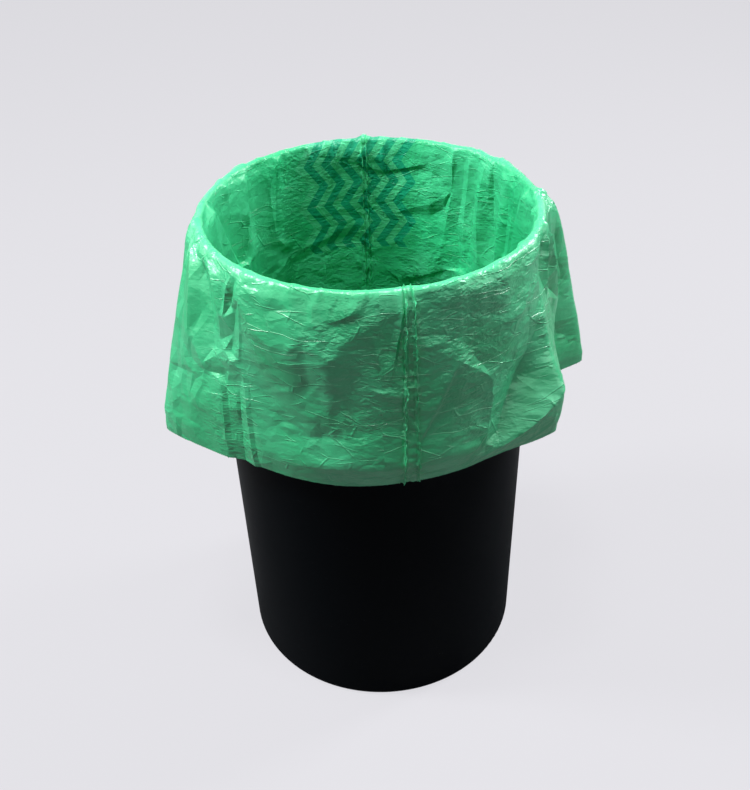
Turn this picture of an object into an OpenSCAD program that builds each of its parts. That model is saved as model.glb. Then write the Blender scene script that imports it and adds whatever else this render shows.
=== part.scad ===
// A round waste bin with a film bag fitted in it. The bag lines the bin,
// turns over the rim and hangs down outside as a loose cuff.
// Origin: centre of the bin's underside. +Z up, the front of the bin faces -Y.

/* [Bin] */
// Height of the bin
bin_h = 488; // [380:1:560]
// Outer diameter at the foot
base_d = 285; // [240:1:288]
// Outer diameter of the wall under the rim
mouth_d = 291; // [289:1:330]
// Thickness of the wall
wall_t = 2; // [1.2:0.1:3]
// Thickness of the floor
floor_t = 2.6; // [1.6:0.1:5]
// Outer rounding between wall and floor
foot_r = 6; // [4:0.5:14]
// Diameter of the rolled bead around the mouth
bead_d = 6; // [5:0.5:10]
// How far the bead stands in past the wall's inner face
bead_in = 0.5; // [0.3:0.1:1.5]

/* [Bag] */
// Thickness of the film
film_t = 0.4; // [0.3:0.05:0.7]
// Space between the film and the bin
film_gap = 0.3; // [0.25:0.05:0.6]
// Drop of the cuff from the top of the rim to the hem
cuff_drop = 184; // [120:1:240]
// How far the cuff stands off all round at the hem
cuff_ease = 9; // [5:0.5:16]
// Radius of the bag's rounded bottom edge
bag_bottom_r = 48; // [30:1:70]
// Height of the bottom above the bin's floor
bag_lift = 1.2; // [1:0.1:4]
// Height of the gathered knot of film where the bottom is sealed
seal_h = 9; // [4:0.5:14]

/* [Cuff shape] */
// How far the left corner of the hem flares out
left_flare = 50; // [30:1:60]
// How far the right front corner of the hem flares out
right_flare = 25; // [12:1:34]
// How far the loose lobe on the right flares out
lobe_flare = 49; // [30:1:60]
// How far the folds at the back flare out
back_flare = 20; // [8:1:28]
// How far the last stretch above the hem curls in
hem_curl = 5; // [0:0.5:8]
// Height of the crumpled crease bands at front and back
crease_h = 2.4; // [1.2:0.1:4]
// Depth of the narrow folds in the cuff
cuff_fold = 5; // [2:0.5:8]
// Depth of the pleats inside the bin
pleat_h = 12; // [6:0.5:18]
// How far the gathers stand up on the rim
gather_h = 3; // [1.5:0.25:5]

/* [Hidden] */

bin_colour = [0.035, 0.038, 0.042];
bag_colour = [0.22, 0.70, 0.42];

// The bin's half section
lean = atan((mouth_d - base_d) / 2 / bin_h);
bead_r = bead_d / 2;
bead_z = bin_h - bead_r;
bead_at = mouth_d / 2 - wall_t - bead_in + bead_r;

// The film's middle lies this far from the bin
film_off = film_gap + film_t / 2;
lip_r = bead_r + film_off;
hem_z = bin_h + film_off - cuff_drop;
hang_r = bead_at + lip_r;
bottom_z = floor_t + bag_lift + film_t / 2;
// Radius of the knot where the radial folds meet
knot_r = 7;
// Share of the way down at which the hem starts to curl in
curl_from = 0.9;

// The film is a net of columns around the bin and rings along its section
columns = 120;
column_step = 360 / columns;
cuff_rings = 9;
lip_rings = 4;
wall_rings = 6;
turn_rings = 3;
floor_rings = 2;
rings = cuff_rings + lip_rings + wall_rings + turn_rings + floor_rings;

// Corners and lobes of the hem: angle, spread towards smaller angles, spread
// towards larger angles, how far it stands out, how early on the way down it does so
flares = [
    [199, 32, 46, left_flare, 0.66],
    [332, 26, 15, right_flare, 0.45],
    [5, 13, 22, lobe_flare, 0.80],
    [52, 22, 26, 0.9 * back_flare, 0.75],
    [104, 26, 20, 0.6 * back_flare, 0.85],
    [149, 22, 20, back_flare, 0.75]
];

// Narrow folds of the cuff: angle at the rim, angle at the hem, half width at the
// rim, half width at the hem, share of cuff_fold (minus is a groove), where on the
// way down it is deepest
cuff_folds = [
    [187, 176, 5, 8, 0.8, 0.5],
    [207, 208, 5, 9, -1.5, 0.35],
    [217, 213, 4, 5, 0.9, 0.6],
    [231, 227, 4, 5, 1.2, 0.6],
    [251, 249, 5, 7, 0.4, 0.2],
    [262, 260, 5, 9, -0.5, 0.4],
    [318, 304, 6, 9, 0.8, 0.6],
    [343, 343, 4, 7, -1.1, 0.5],
    [350, 349, 3, 5, 1.0, 0.4],
    [20, 27, 5, 8, -0.9, 0.5],
    [36, 35, 5, 8, 0.8, 0.6],
    [74, 78, 6, 8, 0.8, 0.6],
    [90, 88, 6, 9, -0.6, 0.5],
    [128, 130, 6, 9, -0.8, 0.5],
    [166, 167, 5, 7, -0.8, 0.5]
];

// Pleats inside the bin: angle at the rim, angle at the bottom, half width at the
// rim, half width at the bottom, share of pleat_h
pleats = [
    [13, 20, 5, 8, 0.8],
    [25, 31, 6, 8, 1.0],
    [40, 50, 6, 10, 1.1],
    [64, 66, 5, 8, 0.4],
    [110, 112, 5, 9, 0.3],
    [129, 133, 4, 8, 0.5],
    [145, 152, 5, 10, 0.8],
    [178, 168, 6, 10, 1.1],
    [205, 200, 5, 9, 0.7],
    [232, 226, 6, 9, 0.6],
    [256, 258, 6, 9, 0.8],
    [304, 300, 6, 9, 0.6],
    [328, 324, 6, 10, 0.9],
    [350, 346, 6, 9, 0.9]
];

// Gathers on the rim: angle, half width, share of gather_h
gathers = [
    [186, 8, 1.0], [199, 6, 0.8], [230, 5, 0.6], [280.5, 4, 0.9],
    [350, 7, 1.2], [1, 6, 1.0], [33, 7, 0.9], [48, 9, 0.8],
    [91.5, 4, 0.8], [144, 6, 0.5]
];

// The crease bands, where the flat bag had its folded edges
crease_at = [280.5, 91.5];
crease_half = 2.5;

// Difference of two angles, from -180 to 180
function turn(a, b) = a - b - 360 * floor((a - b + 180) / 360);

// A fold's cross section: a crest that falls off to both sides
function crest(x) = abs(x) < 1 ? pow(1 - abs(x), 1.3) : 0;

// A hem corner's outline: nearly straight panels that meet in a corner
function corner(x) = abs(x) < 1 ? pow(1 - abs(x), 2.1) : 0;

function sum(list, i = 0) = i < len(list) ? list[i] + sum(list, i + 1) : 0;

function flare(a, t) = sum([
    for (f = flares)
        let (d = turn(a, f[0]), x = d < 0 ? d / f[1] : d / f[2])
            f[3] * corner(x) * pow(t, f[4])
]);

// The crests of a list of folds that wander and widen from t = 0 to t = 1
function fold(a, t, list) = sum([
    for (f = list)
        let (at = f[0] + (f[1] - f[0]) * t, half = f[2] + (f[3] - f[2]) * t)
            f[4] * crest(turn(a, at) / half) * (len(f) > 5 ? deep(t, f[5]) : 1)
]);

// How deep a fold is on the way down: 0 at the rim, 1 at peak, 0.4 at the end
function deep(t, peak) = t < peak ? pow(t / peak, 0.7) : 1 - 0.6 * (t - peak) / (1 - peak);

function gather(a) = sum([
    for (g = gathers) gather_h * g[2] * crest(turn(a, g[0]) / g[1])
]);

function crease(a) = max([
    for (c = crease_at) abs(turn(a, c)) < crease_half ? crease_h : 0
]);

// Inner radius of the bin's wall at a height
function wall_r(z) = base_d / 2 - wall_t + tan(lean) * z;

// The film's middle at one column and ring: [radius, height, outward radial part,
// outward upward part], where outward is the side away from the bin
function cuff_point(a, t) =
    let (stand = cuff_ease * pow(t, 0.7) + flare(a, t)
            + cuff_fold * fold(a, t, cuff_folds)
            + gather(a) * (1 - t) + crease(a) - hem_curl * max(0, (t - curl_from) / (1 - curl_from)))
        [hang_r + max(stand, 0), bead_z + (hem_z - bead_z) * t, 1, 0];

function lip_point(a, t) =
    let (w = 180 * t, reach = lip_r + gather(a) * cos(w / 2) + crease(a) * (1 - t / 2))
        [bead_at + reach * cos(w), bead_z + reach * sin(w), cos(w), sin(w)];

function wall_point(a, t) =
    let (z = bead_z + (bottom_z + bag_bottom_r - bead_z) * t,
         pleat = pleat_h * fold(a, t, pleats) * pow(sin(60 * t) / sin(60), 0.5))
        [min(wall_r(z) - film_off, bead_at - lip_r) - pleat - crease(a) / 2, z, -1, 0];

function turn_point(a, t) =
    let (w = 90 * t, r = wall_r(bottom_z) - film_off - bag_bottom_r,
         pleat = pleat_h * fold(a, 1, pleats) + crease(a) / 2,
         reach = bag_bottom_r - pleat)
        [r + reach * cos(w), bottom_z + bag_bottom_r - reach * sin(w), -cos(w), sin(w)];

function floor_point(a, t) =
    let (r = wall_r(bottom_z) - film_off - bag_bottom_r, pleat = pleat_h * fold(a, 1, pleats))
        [r + (knot_r - r) * t, bottom_z + pleat * (1 - 0.6 * t) + seal_h * pow(t, 4), 0, 1];

function film_point(a, k) =
    k < cuff_rings ? cuff_point(a, 1 - k / (cuff_rings - 0.5))
    : k < cuff_rings + lip_rings ? lip_point(a, (k - cuff_rings + 0.5) / lip_rings)
    : k < cuff_rings + lip_rings + wall_rings
        ? wall_point(a, (k - cuff_rings - lip_rings + 0.5) / wall_rings)
    : k < cuff_rings + lip_rings + wall_rings + turn_rings
        ? turn_point(a, (k - cuff_rings - lip_rings - wall_rings + 0.5) / turn_rings)
    : floor_point(a, (k - rings + floor_rings + 1) / floor_rings);

// One point of the film's skin: side is 1 for the room's side, -1 for the bin's
function skin_point(a, k, side) =
    let (p = film_point(a, k), r = p[0] + side * p[2] * film_t / 2)
        [r * cos(a), r * sin(a), p[1] + side * p[3] * film_t / 2];

module bin_section(inset, z0, corner_r, top) {
    centre = [base_d / 2 - inset - corner_r, z0 + corner_r];
    touch = centre + corner_r * [cos(lean), -sin(lean)];
    rim = touch + (top - touch[1]) * [tan(lean), 1];
    translate(centre)
        circle(r = corner_r, $fn = 64);
    polygon([[0, z0], [centre[0], z0], centre, touch, rim, [0, top]]);
}

module waste_bin() {
    color(bin_colour)
        rotate_extrude($fn = 180) {
            difference() {
                bin_section(0, 0, foot_r, bead_z);
                bin_section(wall_t, floor_t, foot_r - wall_t, bead_z + 1);
            }
            translate([bead_at, bead_z])
                circle(r = bead_r, $fn = 48);
        }
}

module bin_bag() {
    skin = [
        for (side = [1, -1])
            for (k = [0:rings - 1])
                for (j = [0:columns - 1])
                    skin_point(j * column_step, k, side)
    ];
    tip = bottom_z + seal_h;
    points = concat(skin, [[0, 0, tip + film_t], [0, 0, tip]]);
    side_count = rings * columns;
    last = rings - 1;
    // Room's side, wound one way, and bin's side, wound the other
    room = [
        for (k = [0:last - 1]) for (j = [0:columns - 1])
            let (n = (j + 1) % columns, a = k * columns + j, b = k * columns + n,
                 c = a + columns, d = b + columns)
                each [[a, c, b], [b, c, d]]
    ];
    back = [for (f = room) [f[0] + side_count, f[2] + side_count, f[1] + side_count]];
    hem = [
        for (j = [0:columns - 1])
            let (n = (j + 1) % columns)
                each [[j, n, j + side_count], [n, n + side_count, j + side_count]]
    ];
    knot = [
        for (j = [0:columns - 1])
            let (n = (j + 1) % columns, a = last * columns + j, b = last * columns + n)
                each [[a, 2 * side_count, b],
                      [b + side_count, 2 * side_count + 1, a + side_count]]
    ];
    color(bag_colour)
        polyhedron(points = points, faces = concat(room, back, hem, knot), convexity = 12);
}

waste_bin();
bin_bag();
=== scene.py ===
import bpy
import math
import numpy as np
from mathutils import Matrix, Vector
from mathutils.geometry import delaunay_2d_cdt


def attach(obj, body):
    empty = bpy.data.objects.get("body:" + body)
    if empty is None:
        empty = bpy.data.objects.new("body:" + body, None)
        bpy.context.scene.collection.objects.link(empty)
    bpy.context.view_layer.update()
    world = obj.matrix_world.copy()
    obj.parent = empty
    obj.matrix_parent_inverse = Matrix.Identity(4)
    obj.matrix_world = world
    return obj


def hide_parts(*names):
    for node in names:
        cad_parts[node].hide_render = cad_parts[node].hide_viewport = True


# A round black waste bin with a thin green bag turned over its rim.
# Metres, +Z up, the origin is the centre of the bin's underside, the front faces -Y.

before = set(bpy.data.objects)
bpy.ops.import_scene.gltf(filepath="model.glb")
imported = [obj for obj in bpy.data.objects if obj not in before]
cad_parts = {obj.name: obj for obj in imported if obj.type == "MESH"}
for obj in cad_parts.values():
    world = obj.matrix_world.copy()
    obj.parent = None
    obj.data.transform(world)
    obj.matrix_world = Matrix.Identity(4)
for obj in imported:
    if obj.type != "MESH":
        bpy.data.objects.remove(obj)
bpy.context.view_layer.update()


# A Wire is one output of a node in a shader or geometry tree
class Wire:
    def __init__(self, tree, socket=None):
        self.tree = tree
        self.socket = socket

    # Adds a node; a wire among the sockets is linked, any other value is set
    def add(self, kind, settings=None, sockets=None, out=0):
        made = self.tree.nodes.new(kind)
        for name, value in (settings or {}).items():
            setattr(made, name, value)
        for name, value in (sockets or {}).items():
            if isinstance(value, Wire):
                self.tree.links.new(value.socket, made.inputs[name])
            else:
                made.inputs[name].default_value = value
        return Wire(self.tree, made.outputs[out])

    # Another output of the same node
    def beside(self, out):
        return Wire(self.tree, self.socket.node.outputs[out])

    def maths(self, operation, first, second=0.0):
        return self.add("ShaderNodeMath", {"operation": operation}, {0: first, 1: second})

    # 0 below low, 1 above high, a soft step between
    def step(self, low, high):
        return self.add("ShaderNodeMapRange", {"interpolation_type": "SMOOTHSTEP"},
                        {"Value": self, "From Min": low, "From Max": high})

    def mixColour(self, first, second, mask):
        return self.add("ShaderNodeMix", {"data_type": "RGBA"}, {0: mask, 6: first, 7: second}, out=2)

    def scaled(self, number):
        return self.add("ShaderNodeVectorMath", {"operation": "SCALE"}, {0: self, "Scale": number})

    def moved(self, offset):
        return self.add("ShaderNodeVectorMath", {"operation": "ADD"}, {0: self, 1: offset})

    # Stretches a position, and turns it about Z, before it reaches a texture
    def stretch(self, scale, turn=0.0):
        return self.add("ShaderNodeMapping", {}, {"Vector": self, "Scale": scale, "Rotation": (0, 0, turn)})

    def noise(self, scale, detail=3.0, rough=0.5, out=0):
        return self.add("ShaderNodeTexNoise", {}, {"Vector": self, "Scale": scale, "Detail": detail,
                                                   "Roughness": rough}, out)

    def cells(self, scale, settings=None, out=0):
        return self.add("ShaderNodeTexVoronoi", settings, {"Vector": self, "Scale": scale}, out)

    # Flat facets with sharp creases between them, on a flat layout in metres: cells
    # of one size, each with roofs of its own slope, up or down
    def facets(self, size, slope):
        flat = {"voronoi_dimensions": "2D"}
        roof = self.cells(1.0 / size, {**flat, "feature": "DISTANCE_TO_EDGE"})
        own = self.cells(1.0 / size, flat, out=1)
        return roof * (own - 0.5) * (4.0 * slope * size)

    # Thin raised lines along the sides of such cells
    def lines(self, size, width, height):
        away = self.cells(1.0 / size, {"voronoi_dimensions": "2D", "feature": "DISTANCE_TO_EDGE"})
        return away.step(width / size, 0.0) * height


# What an operator does between wires and numbers: it adds a Math node
def operator(operation, wireSecond=False):
    def made(wire, other=0.0):
        return wire.maths(operation, other, wire) if wireSecond else wire.maths(operation, wire, other)
    return made


Wire.__add__ = operator("ADD")
Wire.__radd__ = operator("ADD", wireSecond=True)
Wire.__sub__ = operator("SUBTRACT")
Wire.__rsub__ = operator("SUBTRACT", wireSecond=True)
Wire.__mul__ = operator("MULTIPLY")
Wire.__rmul__ = operator("MULTIPLY", wireSecond=True)
Wire.__truediv__ = operator("DIVIDE")
Wire.__abs__ = operator("ABSOLUTE")
Wire.__gt__ = operator("GREATER_THAN")
Wire.__lt__ = operator("LESS_THAN")


# A new material with an empty tree; returns it with a Wire to start from
def startMaterial(name):
    material = bpy.data.materials.new(name)
    material.use_nodes = True
    material.node_tree.nodes.clear()
    return material, Wire(material.node_tree)


def endShader(wire, shader, kind="ShaderNodeOutputMaterial"):
    output = wire.tree.nodes.new(kind)
    wire.tree.links.new(shader.socket, output.inputs["Surface"])


# A new object in the scene, at the origin
def addObject(name, data):
    made = bpy.data.objects.new(name, data)
    bpy.context.scene.collection.objects.link(made)
    return made


# The bin's sizes that the film has to fit, as in the model
tub = {
    "height": 0.488,
    "footRadius": 0.1425,
    "mouthRadius": 0.1455,
    "wall": 0.002,
    "floor": 0.0026,
    "beadRadius": 0.003,
    "beadIn": 0.0005,
}

# The bag. Angles in degrees, lengths in metres
bag = {
    "gap": 0.0005,              # middle of the film to the bin
    "drop": 0.184,              # rim to hem
    "ease": 0.009,              # stand-off all round at the hem
    "easePower": 0.7,
    "curl": 0.008,              # how far the last stretch above the hem curls in
    "curlLeast": 0.3,           # share of the curl away from the right of the front
    "curlMost": (292, 30, 4),   # where it is full: angle, half width and power of a hump
    "curlFrom": 0.88,           # share of the way down where it starts
    "fadeTop": 0.04,            # share of the way down over which the cuff's creases fade in
    "fadeIn": 0.006,            # the same for the lining, as a length
    "bottomRadius": 0.048,
    "lift": 0.0014,
    "knotRadius": 0.007,
    "sealHeight": 0.009,
    "pleat": 0.012,             # depth of the pleats inside
    "pleatArc": 60,             # part of a sine wave by which they deepen on the way down
    "fold": 0.005,              # depth of the cuff's folds
    "foldGrows": 0.7,           # power by which a fold deepens, and share it loses again
    "foldFades": 0.6,
    "crestPower": 1.3,          # how sharp folds, pleats and gathers are
    "flarePower": 2.1,          # how sharp the hem's corners are
    "gather": 0.003,            # height of the gathers on the rim
    "bandAt": (280.5, 91.5),    # the two crease bands, with more columns for some degrees
    "bandMore": 1.8,
    "bandReach": 5.5,
    "bandFade": 1.5,
    "layoutRadius": 0.150,      # turns angles into lengths on the flat film
    "columns": 528,
    "cuffRows": 95,
    "lipRows": 5,
    "upperRows": 71,            # the part of the lining that shows
    "upperDepth": 0.150,
    "lowerRows": 24,
    "turnRows": 8,
    "floorRows": 8,
}

# Hem corners and lobes: angle, spread to smaller angles, spread to larger angles,
# stand-off, how early on the way down
flares = [
    (199, 32, 46, 0.050, 0.66), (331, 26, 15, 0.024, 0.75), (5, 13, 22, 0.052, 0.76),
    (52, 22, 26, 0.018, 0.75), (104, 26, 20, 0.012, 0.85), (149, 22, 20, 0.020, 0.75),
]

# Long folds of the cuff: angle at rim, angle at hem, half width at rim, half width
# at hem, share of the fold depth, where it is deepest
cuffFolds = [
    (181, 172, 3, 7, 0.9, 0.4), (186, 179, 2.5, 6, -1.3, 0.35), (191, 186, 3, 8, 1.3, 0.4),
    (196.5, 193, 2, 6, -0.6, 0.3), (264, 262, 9, 14, -0.25, 0.4), (343, 343, 4, 7, -0.6, 0.5),
    (14, 16, 3, 6, -0.9, 0.4), (20, 27, 5, 8, -0.9, 0.5), (36, 35, 5, 8, 0.8, 0.6), (74, 78, 6, 8, 0.8, 0.6),
    (90, 88, 6, 9, -0.6, 0.5), (128, 130, 6, 9, -0.8, 0.5), (166, 167, 5, 7, -0.8, 0.5),
]

# Pleats of the lining: angle at rim, angle at bottom, half width at rim, half width
# at bottom, share of the pleat depth
pleats = [
    (13, 20, 5, 8, 0.8), (25, 31, 6, 8, 1.0), (40, 50, 6, 10, 1.1), (64, 66, 5, 8, 0.4),
    (110, 112, 5, 9, 0.3), (129, 133, 4, 8, 0.5), (145, 152, 5, 10, 0.8), (178, 168, 6, 10, 1.1),
    (205, 200, 5, 9, 0.7), (232, 226, 6, 9, 0.6), (256, 258, 6, 9, 0.8), (304, 300, 6, 9, 0.6),
    (328, 324, 6, 10, 0.9), (350, 346, 6, 9, 0.9),
]

# Gathers on the rim: angle, half width, share of the gather height
gathers = [
    (188, 5, 1.2), (200, 2.5, 1.2), (212, 2.5, 0.7), (224, 2.5, 0.6), (230, 5, 0.6), (280.5, 4, 0.9),
    (341, 3, 1.5), (4, 3.5, 1.6), (33, 7, 0.9), (48, 9, 0.8), (91.5, 4, 0.8), (144, 6, 0.5),
]

# Small uneven lifts along the rim, and short pleats that hang from it on the inside
rim = {
    "lifts": 150,
    "liftSeed": 3,
    "liftLeast": 0.0005,
    "liftMore": 0.0024,
    "drips": 26,
    "dripSeed": 9,
    "dripPlaces": [104, 83.7, 54.3, 35.5, 128, 144],
    "dripHeight": (0.0008, 0.0034),
    "dripHalf": (1.2, 3.2),
    "dripLength": 0.028,
}

# Loose points between the placed creases: how far apart and how high. Thin creases:
# how many and how long
creasing = {
    "cuff": {"spacing": 0.036, "height": 0.0020, "seed": 11, "thin": 300, "length": 0.030, "thinSeed": 5},
    "lining": {"spacing": 0.044, "height": 0.0026, "seed": 17, "thin": 260, "length": 0.030, "thinSeed": 25},
    "jitter": 0.35,             # how far loose points lie off their raster, in spacings
    "free": 1.1,                # distance to a crease from which they stand free
    "tied": 0.4,                # distance from which there are any
    "beyond": 0.3,              # how far past the first row they are free in any case
    "drawnFrom": 0.06,          # change of slope from which grid points are drawn onto a crease
    "mostDrawn": 0.42,          # how far they are drawn, in steps of the grid
    "thinShare": 0.35,
}

# A thin crease: spread of its length, widths of its gentle and steep side as shares of
# the length, and rise as a share of the gentle side
thinCrease = {"spread": 0.45, "gentle": (0.12, 0.28), "steep": (0.025, 0.06), "rise": (0.10, 0.30)}

# Which way the thin creases run: mostly level, with a spread in radians, and some
# upright. Near a gather of the cuff most of them fan out down from it
slants = {
    "cuff": {"level": 0.5, "upright": 0.18, "uprightSpread": 0.3},
    "lining": {"level": 0.55, "upright": 0.35, "uprightSpread": 0.25},
    "corners": (196, 350),
    "near": 34,
    "often": 0.75,
    "fan": 0.012,
    "fanSpread": 0.22,
}

# Humps round the cuff, each an angle, half width, power and strength: where creases
# are rounded a little, and where the film is calm, with few loose points and thin creases
roundedAt = [(255, 21, 6, 1.0), (292, 9, 6, 0.8)]
calmAt = [(200, 18, 2, 1.2), (2, 14, 2, 0.9)]

# Sharp creases of the cuff, each a run of angle, millimetres below the rim, height
# in millimetres over the soft shape
cuffCreases = [
    # the smooth cone below the gather at the left corner, and the groove beside it
    [(200, 2, 3), (204, 12, 4), (206, 25, 4.6), (207.2, 68, 4.6), (208.6, 92, 3.4)],
    [(198.4, 6, 0.5), (198.8, 30, -1), (198.6, 64, -1.5), (198, 110, -0.5)],
    [(202, 2, 0.8), (206.5, 8, -2), (210.4, 18, -5), (213, 34, -6), (214.6, 52, -5), (216, 74, -2)],
    [(207.6, 101, 3), (212.9, 91, 2.8), (217.4, 80, 1.6)],
    [(208.6, 107, 1.8), (213.6, 98, 1.2), (218, 88, 0.6)],
    [(192, 4, 0.5), (190.6, 60, -1.5), (189, 184, 0)],
    [(184.6, 2, 3), (181.2, 40, 4), (178, 90, 3), (175, 184, 1)],
    [(181.6, 4, 0), (176.6, 50, -2.5), (171.6, 120, -1.5), (169, 184, 0)],
    [(201, 152, 1.6), (208, 124, 3), (216, 106, 2.4)],
    [(204, 172, 2.4), (212, 158, 1), (219, 152, 2.6)],
    # three folds that fall from the rim beside it
    [(211.9, 1.5, 2.6), (215.2, 9, 3.6), (217.9, 20, 3.4), (219.9, 38, 3.6)],
    [(218.6, 2, 0.6), (220.2, 14, 0.4), (220.9, 28, 1)],
    [(224.3, 1.5, 2), (223.2, 15, 4), (221.9, 39, 4.4)],
    [(226.3, 2, 0), (225.2, 12, -1), (224.2, 26, -1)],
    [(228.6, 1.5, 1.6), (226.9, 15, 3.4), (225.2, 27, 2.4)],
    # the upper strip with its steep right edge
    [(229.6, 5, 1), (229.1, 16, 2.8), (228.2, 46, 3.6), (226.8, 74, 2.8)],
    [(230, 14, 2), (229, 46, 2.8), (227.6, 76, 2.2)],
    [(226.2, 30, 0.4), (224.8, 52, 0), (223.4, 70, 0)],
    [(218.8, 64, -1), (221.5, 70, 3), (224.4, 77, 4.4), (222.6, 88, 1.4), (219.7, 97, -1)],
    # the lower strip
    [(219.4, 101, 2.6), (220.2, 114, 3.4), (220.6, 145, 3.8), (220.8, 180, 3.6)],
    [(221.2, 104, 1.2), (221.8, 130, 1.2), (222.2, 180, 1.2)],
    [(228, 84, 2.4), (228.7, 126, 3.8), (229.7, 181, 4.2)],
    [(229.8, 90, 1.4), (230.1, 126, 2.2), (231.2, 181, 2.4)],
    [(225.9, 104, 0.6), (225.6, 143, -0.6), (225.2, 181, -0.6)],
    [(222.8, 116, 3), (224.6, 122, 2.6)],
    # the grooves and the standing fold below the gather at the right, and the lobe
    [(337.4, 3, 0), (336.2, 14, -2.4), (334, 32, -4), (330.5, 48, -3.4), (324.6, 62, -2), (316, 98, -1),
     (307.4, 141, 0), (305, 160, 2)],
    [(339.2, 2, 3.2), (338.8, 15, 4), (338, 32, 4.2), (337.6, 58, 3)],
    [(340.4, 3, 0.6), (340.8, 15, -1), (341.2, 32, -1), (341.4, 52, 1)],
    [(341.8, 2, 3.4), (343.4, 18, 7.4), (346, 42, 11), (350, 80, 13), (351, 104, 10), (350, 142, 5),
     (346, 181, 3)],
    [(345.6, 4, 0), (352.6, 22, 0), (358, 46, -2), (360, 90, -3), (360, 140, -2)],
    [(363.6, 2, 3), (365.4, 30, 4.4), (367.4, 70, 5), (368.6, 120, 4.6), (369, 172, 3)],
    # right edge of a small flat panel left of the middle
    [(239, 52, 1.4), (238.6, 70, 1.8), (237.9, 90, 1.4)],
    # folds that hang from the rim
    [(252.6, 2, 1.6), (252.8, 14, 2.6), (252.9, 23, 3.2)],
    [(251.4, 4, 0), (251.4, 24, 1.4)],
    [(254.2, 4, 0), (254.2, 24, 1.4)],
    [(266.4, 2, 2.4), (263.6, 12, 3.4)],
    [(268.6, 3, -0.4), (267, 14, 0)],
    [(243.5, 4, 1.8), (244.5, 18, 1.6)],
    [(236, 4, 1.6), (238, 16, 1.4)],
    # long slanting creases of the front
    [(234, 96, 0.6), (244, 86, 2.2), (251, 97, 1.4)],
    [(240, 120, 0.4), (250, 112, 2.4), (260, 94, 1.6), (269, 84, 1.8)],
    [(257, 116, 1), (264, 108, 2.6), (271, 104, 1.4)],
    [(236, 138, 1.6), (252, 132, 0.4), (264, 124, 2.2), (274, 116, 1)],
    [(234, 156, 4.4), (248, 160, 5.2), (262, 159, 5.2), (275.5, 162, 4.6)],
    [(270, 70, 1.6), (273.6, 80, 2.8), (276.2, 98, 1.6)],
    [(278.8, 4, 1), (277.2, 28, 2.6), (275.4, 56, 2.8)],
    [(278, 26, 0.8), (276.4, 56, 0.4)],
    [(276, 20, 0.8), (273.8, 50, 0.6)],
    # the flat band that slants down right of the front crease band
    [(288, 14, 0.4), (295.9, 45, 0.2), (303.1, 76, 1), (306, 86, 2)],
    [(284, 42, 2.2), (289.4, 53, 3.2), (295.9, 66, 4), (302, 80, 3.8), (306.3, 91, 3.4)],
    [(285, 96, 1.6), (292.6, 108, 1.2), (300, 124, 1.4)],
    [(286, 134, 2.4), (293, 128, 2.6), (298, 138, 1.8)],
    [(307.4, 100, 2.8), (307.6, 122, 2.8), (306, 144, 3.4), (303.8, 166, 4.6)],
    [(303.6, 110, 1.2), (304.2, 124, 1.4), (302.4, 146, 1.8)],
    [(308.6, 88, 3), (313, 79, 2.4), (318.6, 73, 1.6), (320.6, 62, 1)],
    [(284.5, 158, 4.4), (292.6, 161, 5.2), (301, 168, 5.2)],
    # lower edge of the bright facet on the right
    [(347, 92, 11), (340, 114, 12.6), (333, 130, 14), (327, 142, 14.4), (321, 154, 13), (316, 162, 11),
     (310, 169, 8.8), (305.6, 173, 7)],
    [(329, 64, -2), (324, 88, -4.6), (319.4, 110, -6.6), (315, 132, -5.4), (310.6, 155, -1)],
    [(333, 92, 3.4), (335.5, 102, 8), (338, 97, 8.6)],
    [(311, 22, 2), (313, 34, 1), (315.4, 46, 2.4)],
    [(322, 14, 0.4), (321, 36, 2)],
    # the back
    [(60, 20, 2), (64, 70, 6), (60, 130, 6)],
    [(75, 30, -1), (80, 90, -0.5), (84, 150, 1)],
    [(98, 15, 1.5), (104, 60, 6), (101, 120, 4), (104, 170, 5)],
    [(88, 40, 4), (90, 90, 4.6), (96, 130, 2)],
    [(118, 20, 4.5), (121, 70, 6.5), (116, 130, 5)],
    [(110, 50, -0.5), (112, 110, -1)],
    [(137, 30, -1), (140, 90, -1), (141, 160, 1)],
    [(128, 60, 4), (132, 120, 5)],
    [(155, 25, 2), (158, 80, 5.5), (153, 140, 5)],
    [(45, 40, 5), (41, 100, 4), (44, 160, 5)],
    [(168, 40, -2), (170, 100, -2)],
    [(30, 60, -2), (34, 120, -1)],
]

# The film swells out below the front of the rim, down to a scalloped edge: angle,
# edge in millimetres below the rim, height in millimetres
swell = [
    (225, 12, 0), (229, 18, 3), (234, 36, 6.2), (239.1, 46, 7), (244.1, 49, 7), (249.8, 34, 6),
    (252.7, 41, 7), (256.1, 50, 7), (259.1, 46, 6.4), (262, 36, 5.2), (266, 26, 4), (270, 20, 3),
    (277.8, 12, 0),
]

# Below its edge it falls off over a least length and a share of the edge's depth. Its
# height is the mean over some degrees to both sides
swellFall = {"least": 0.016, "more": 0.8, "blur": (-4, -2, 0, 2, 4)}

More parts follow.
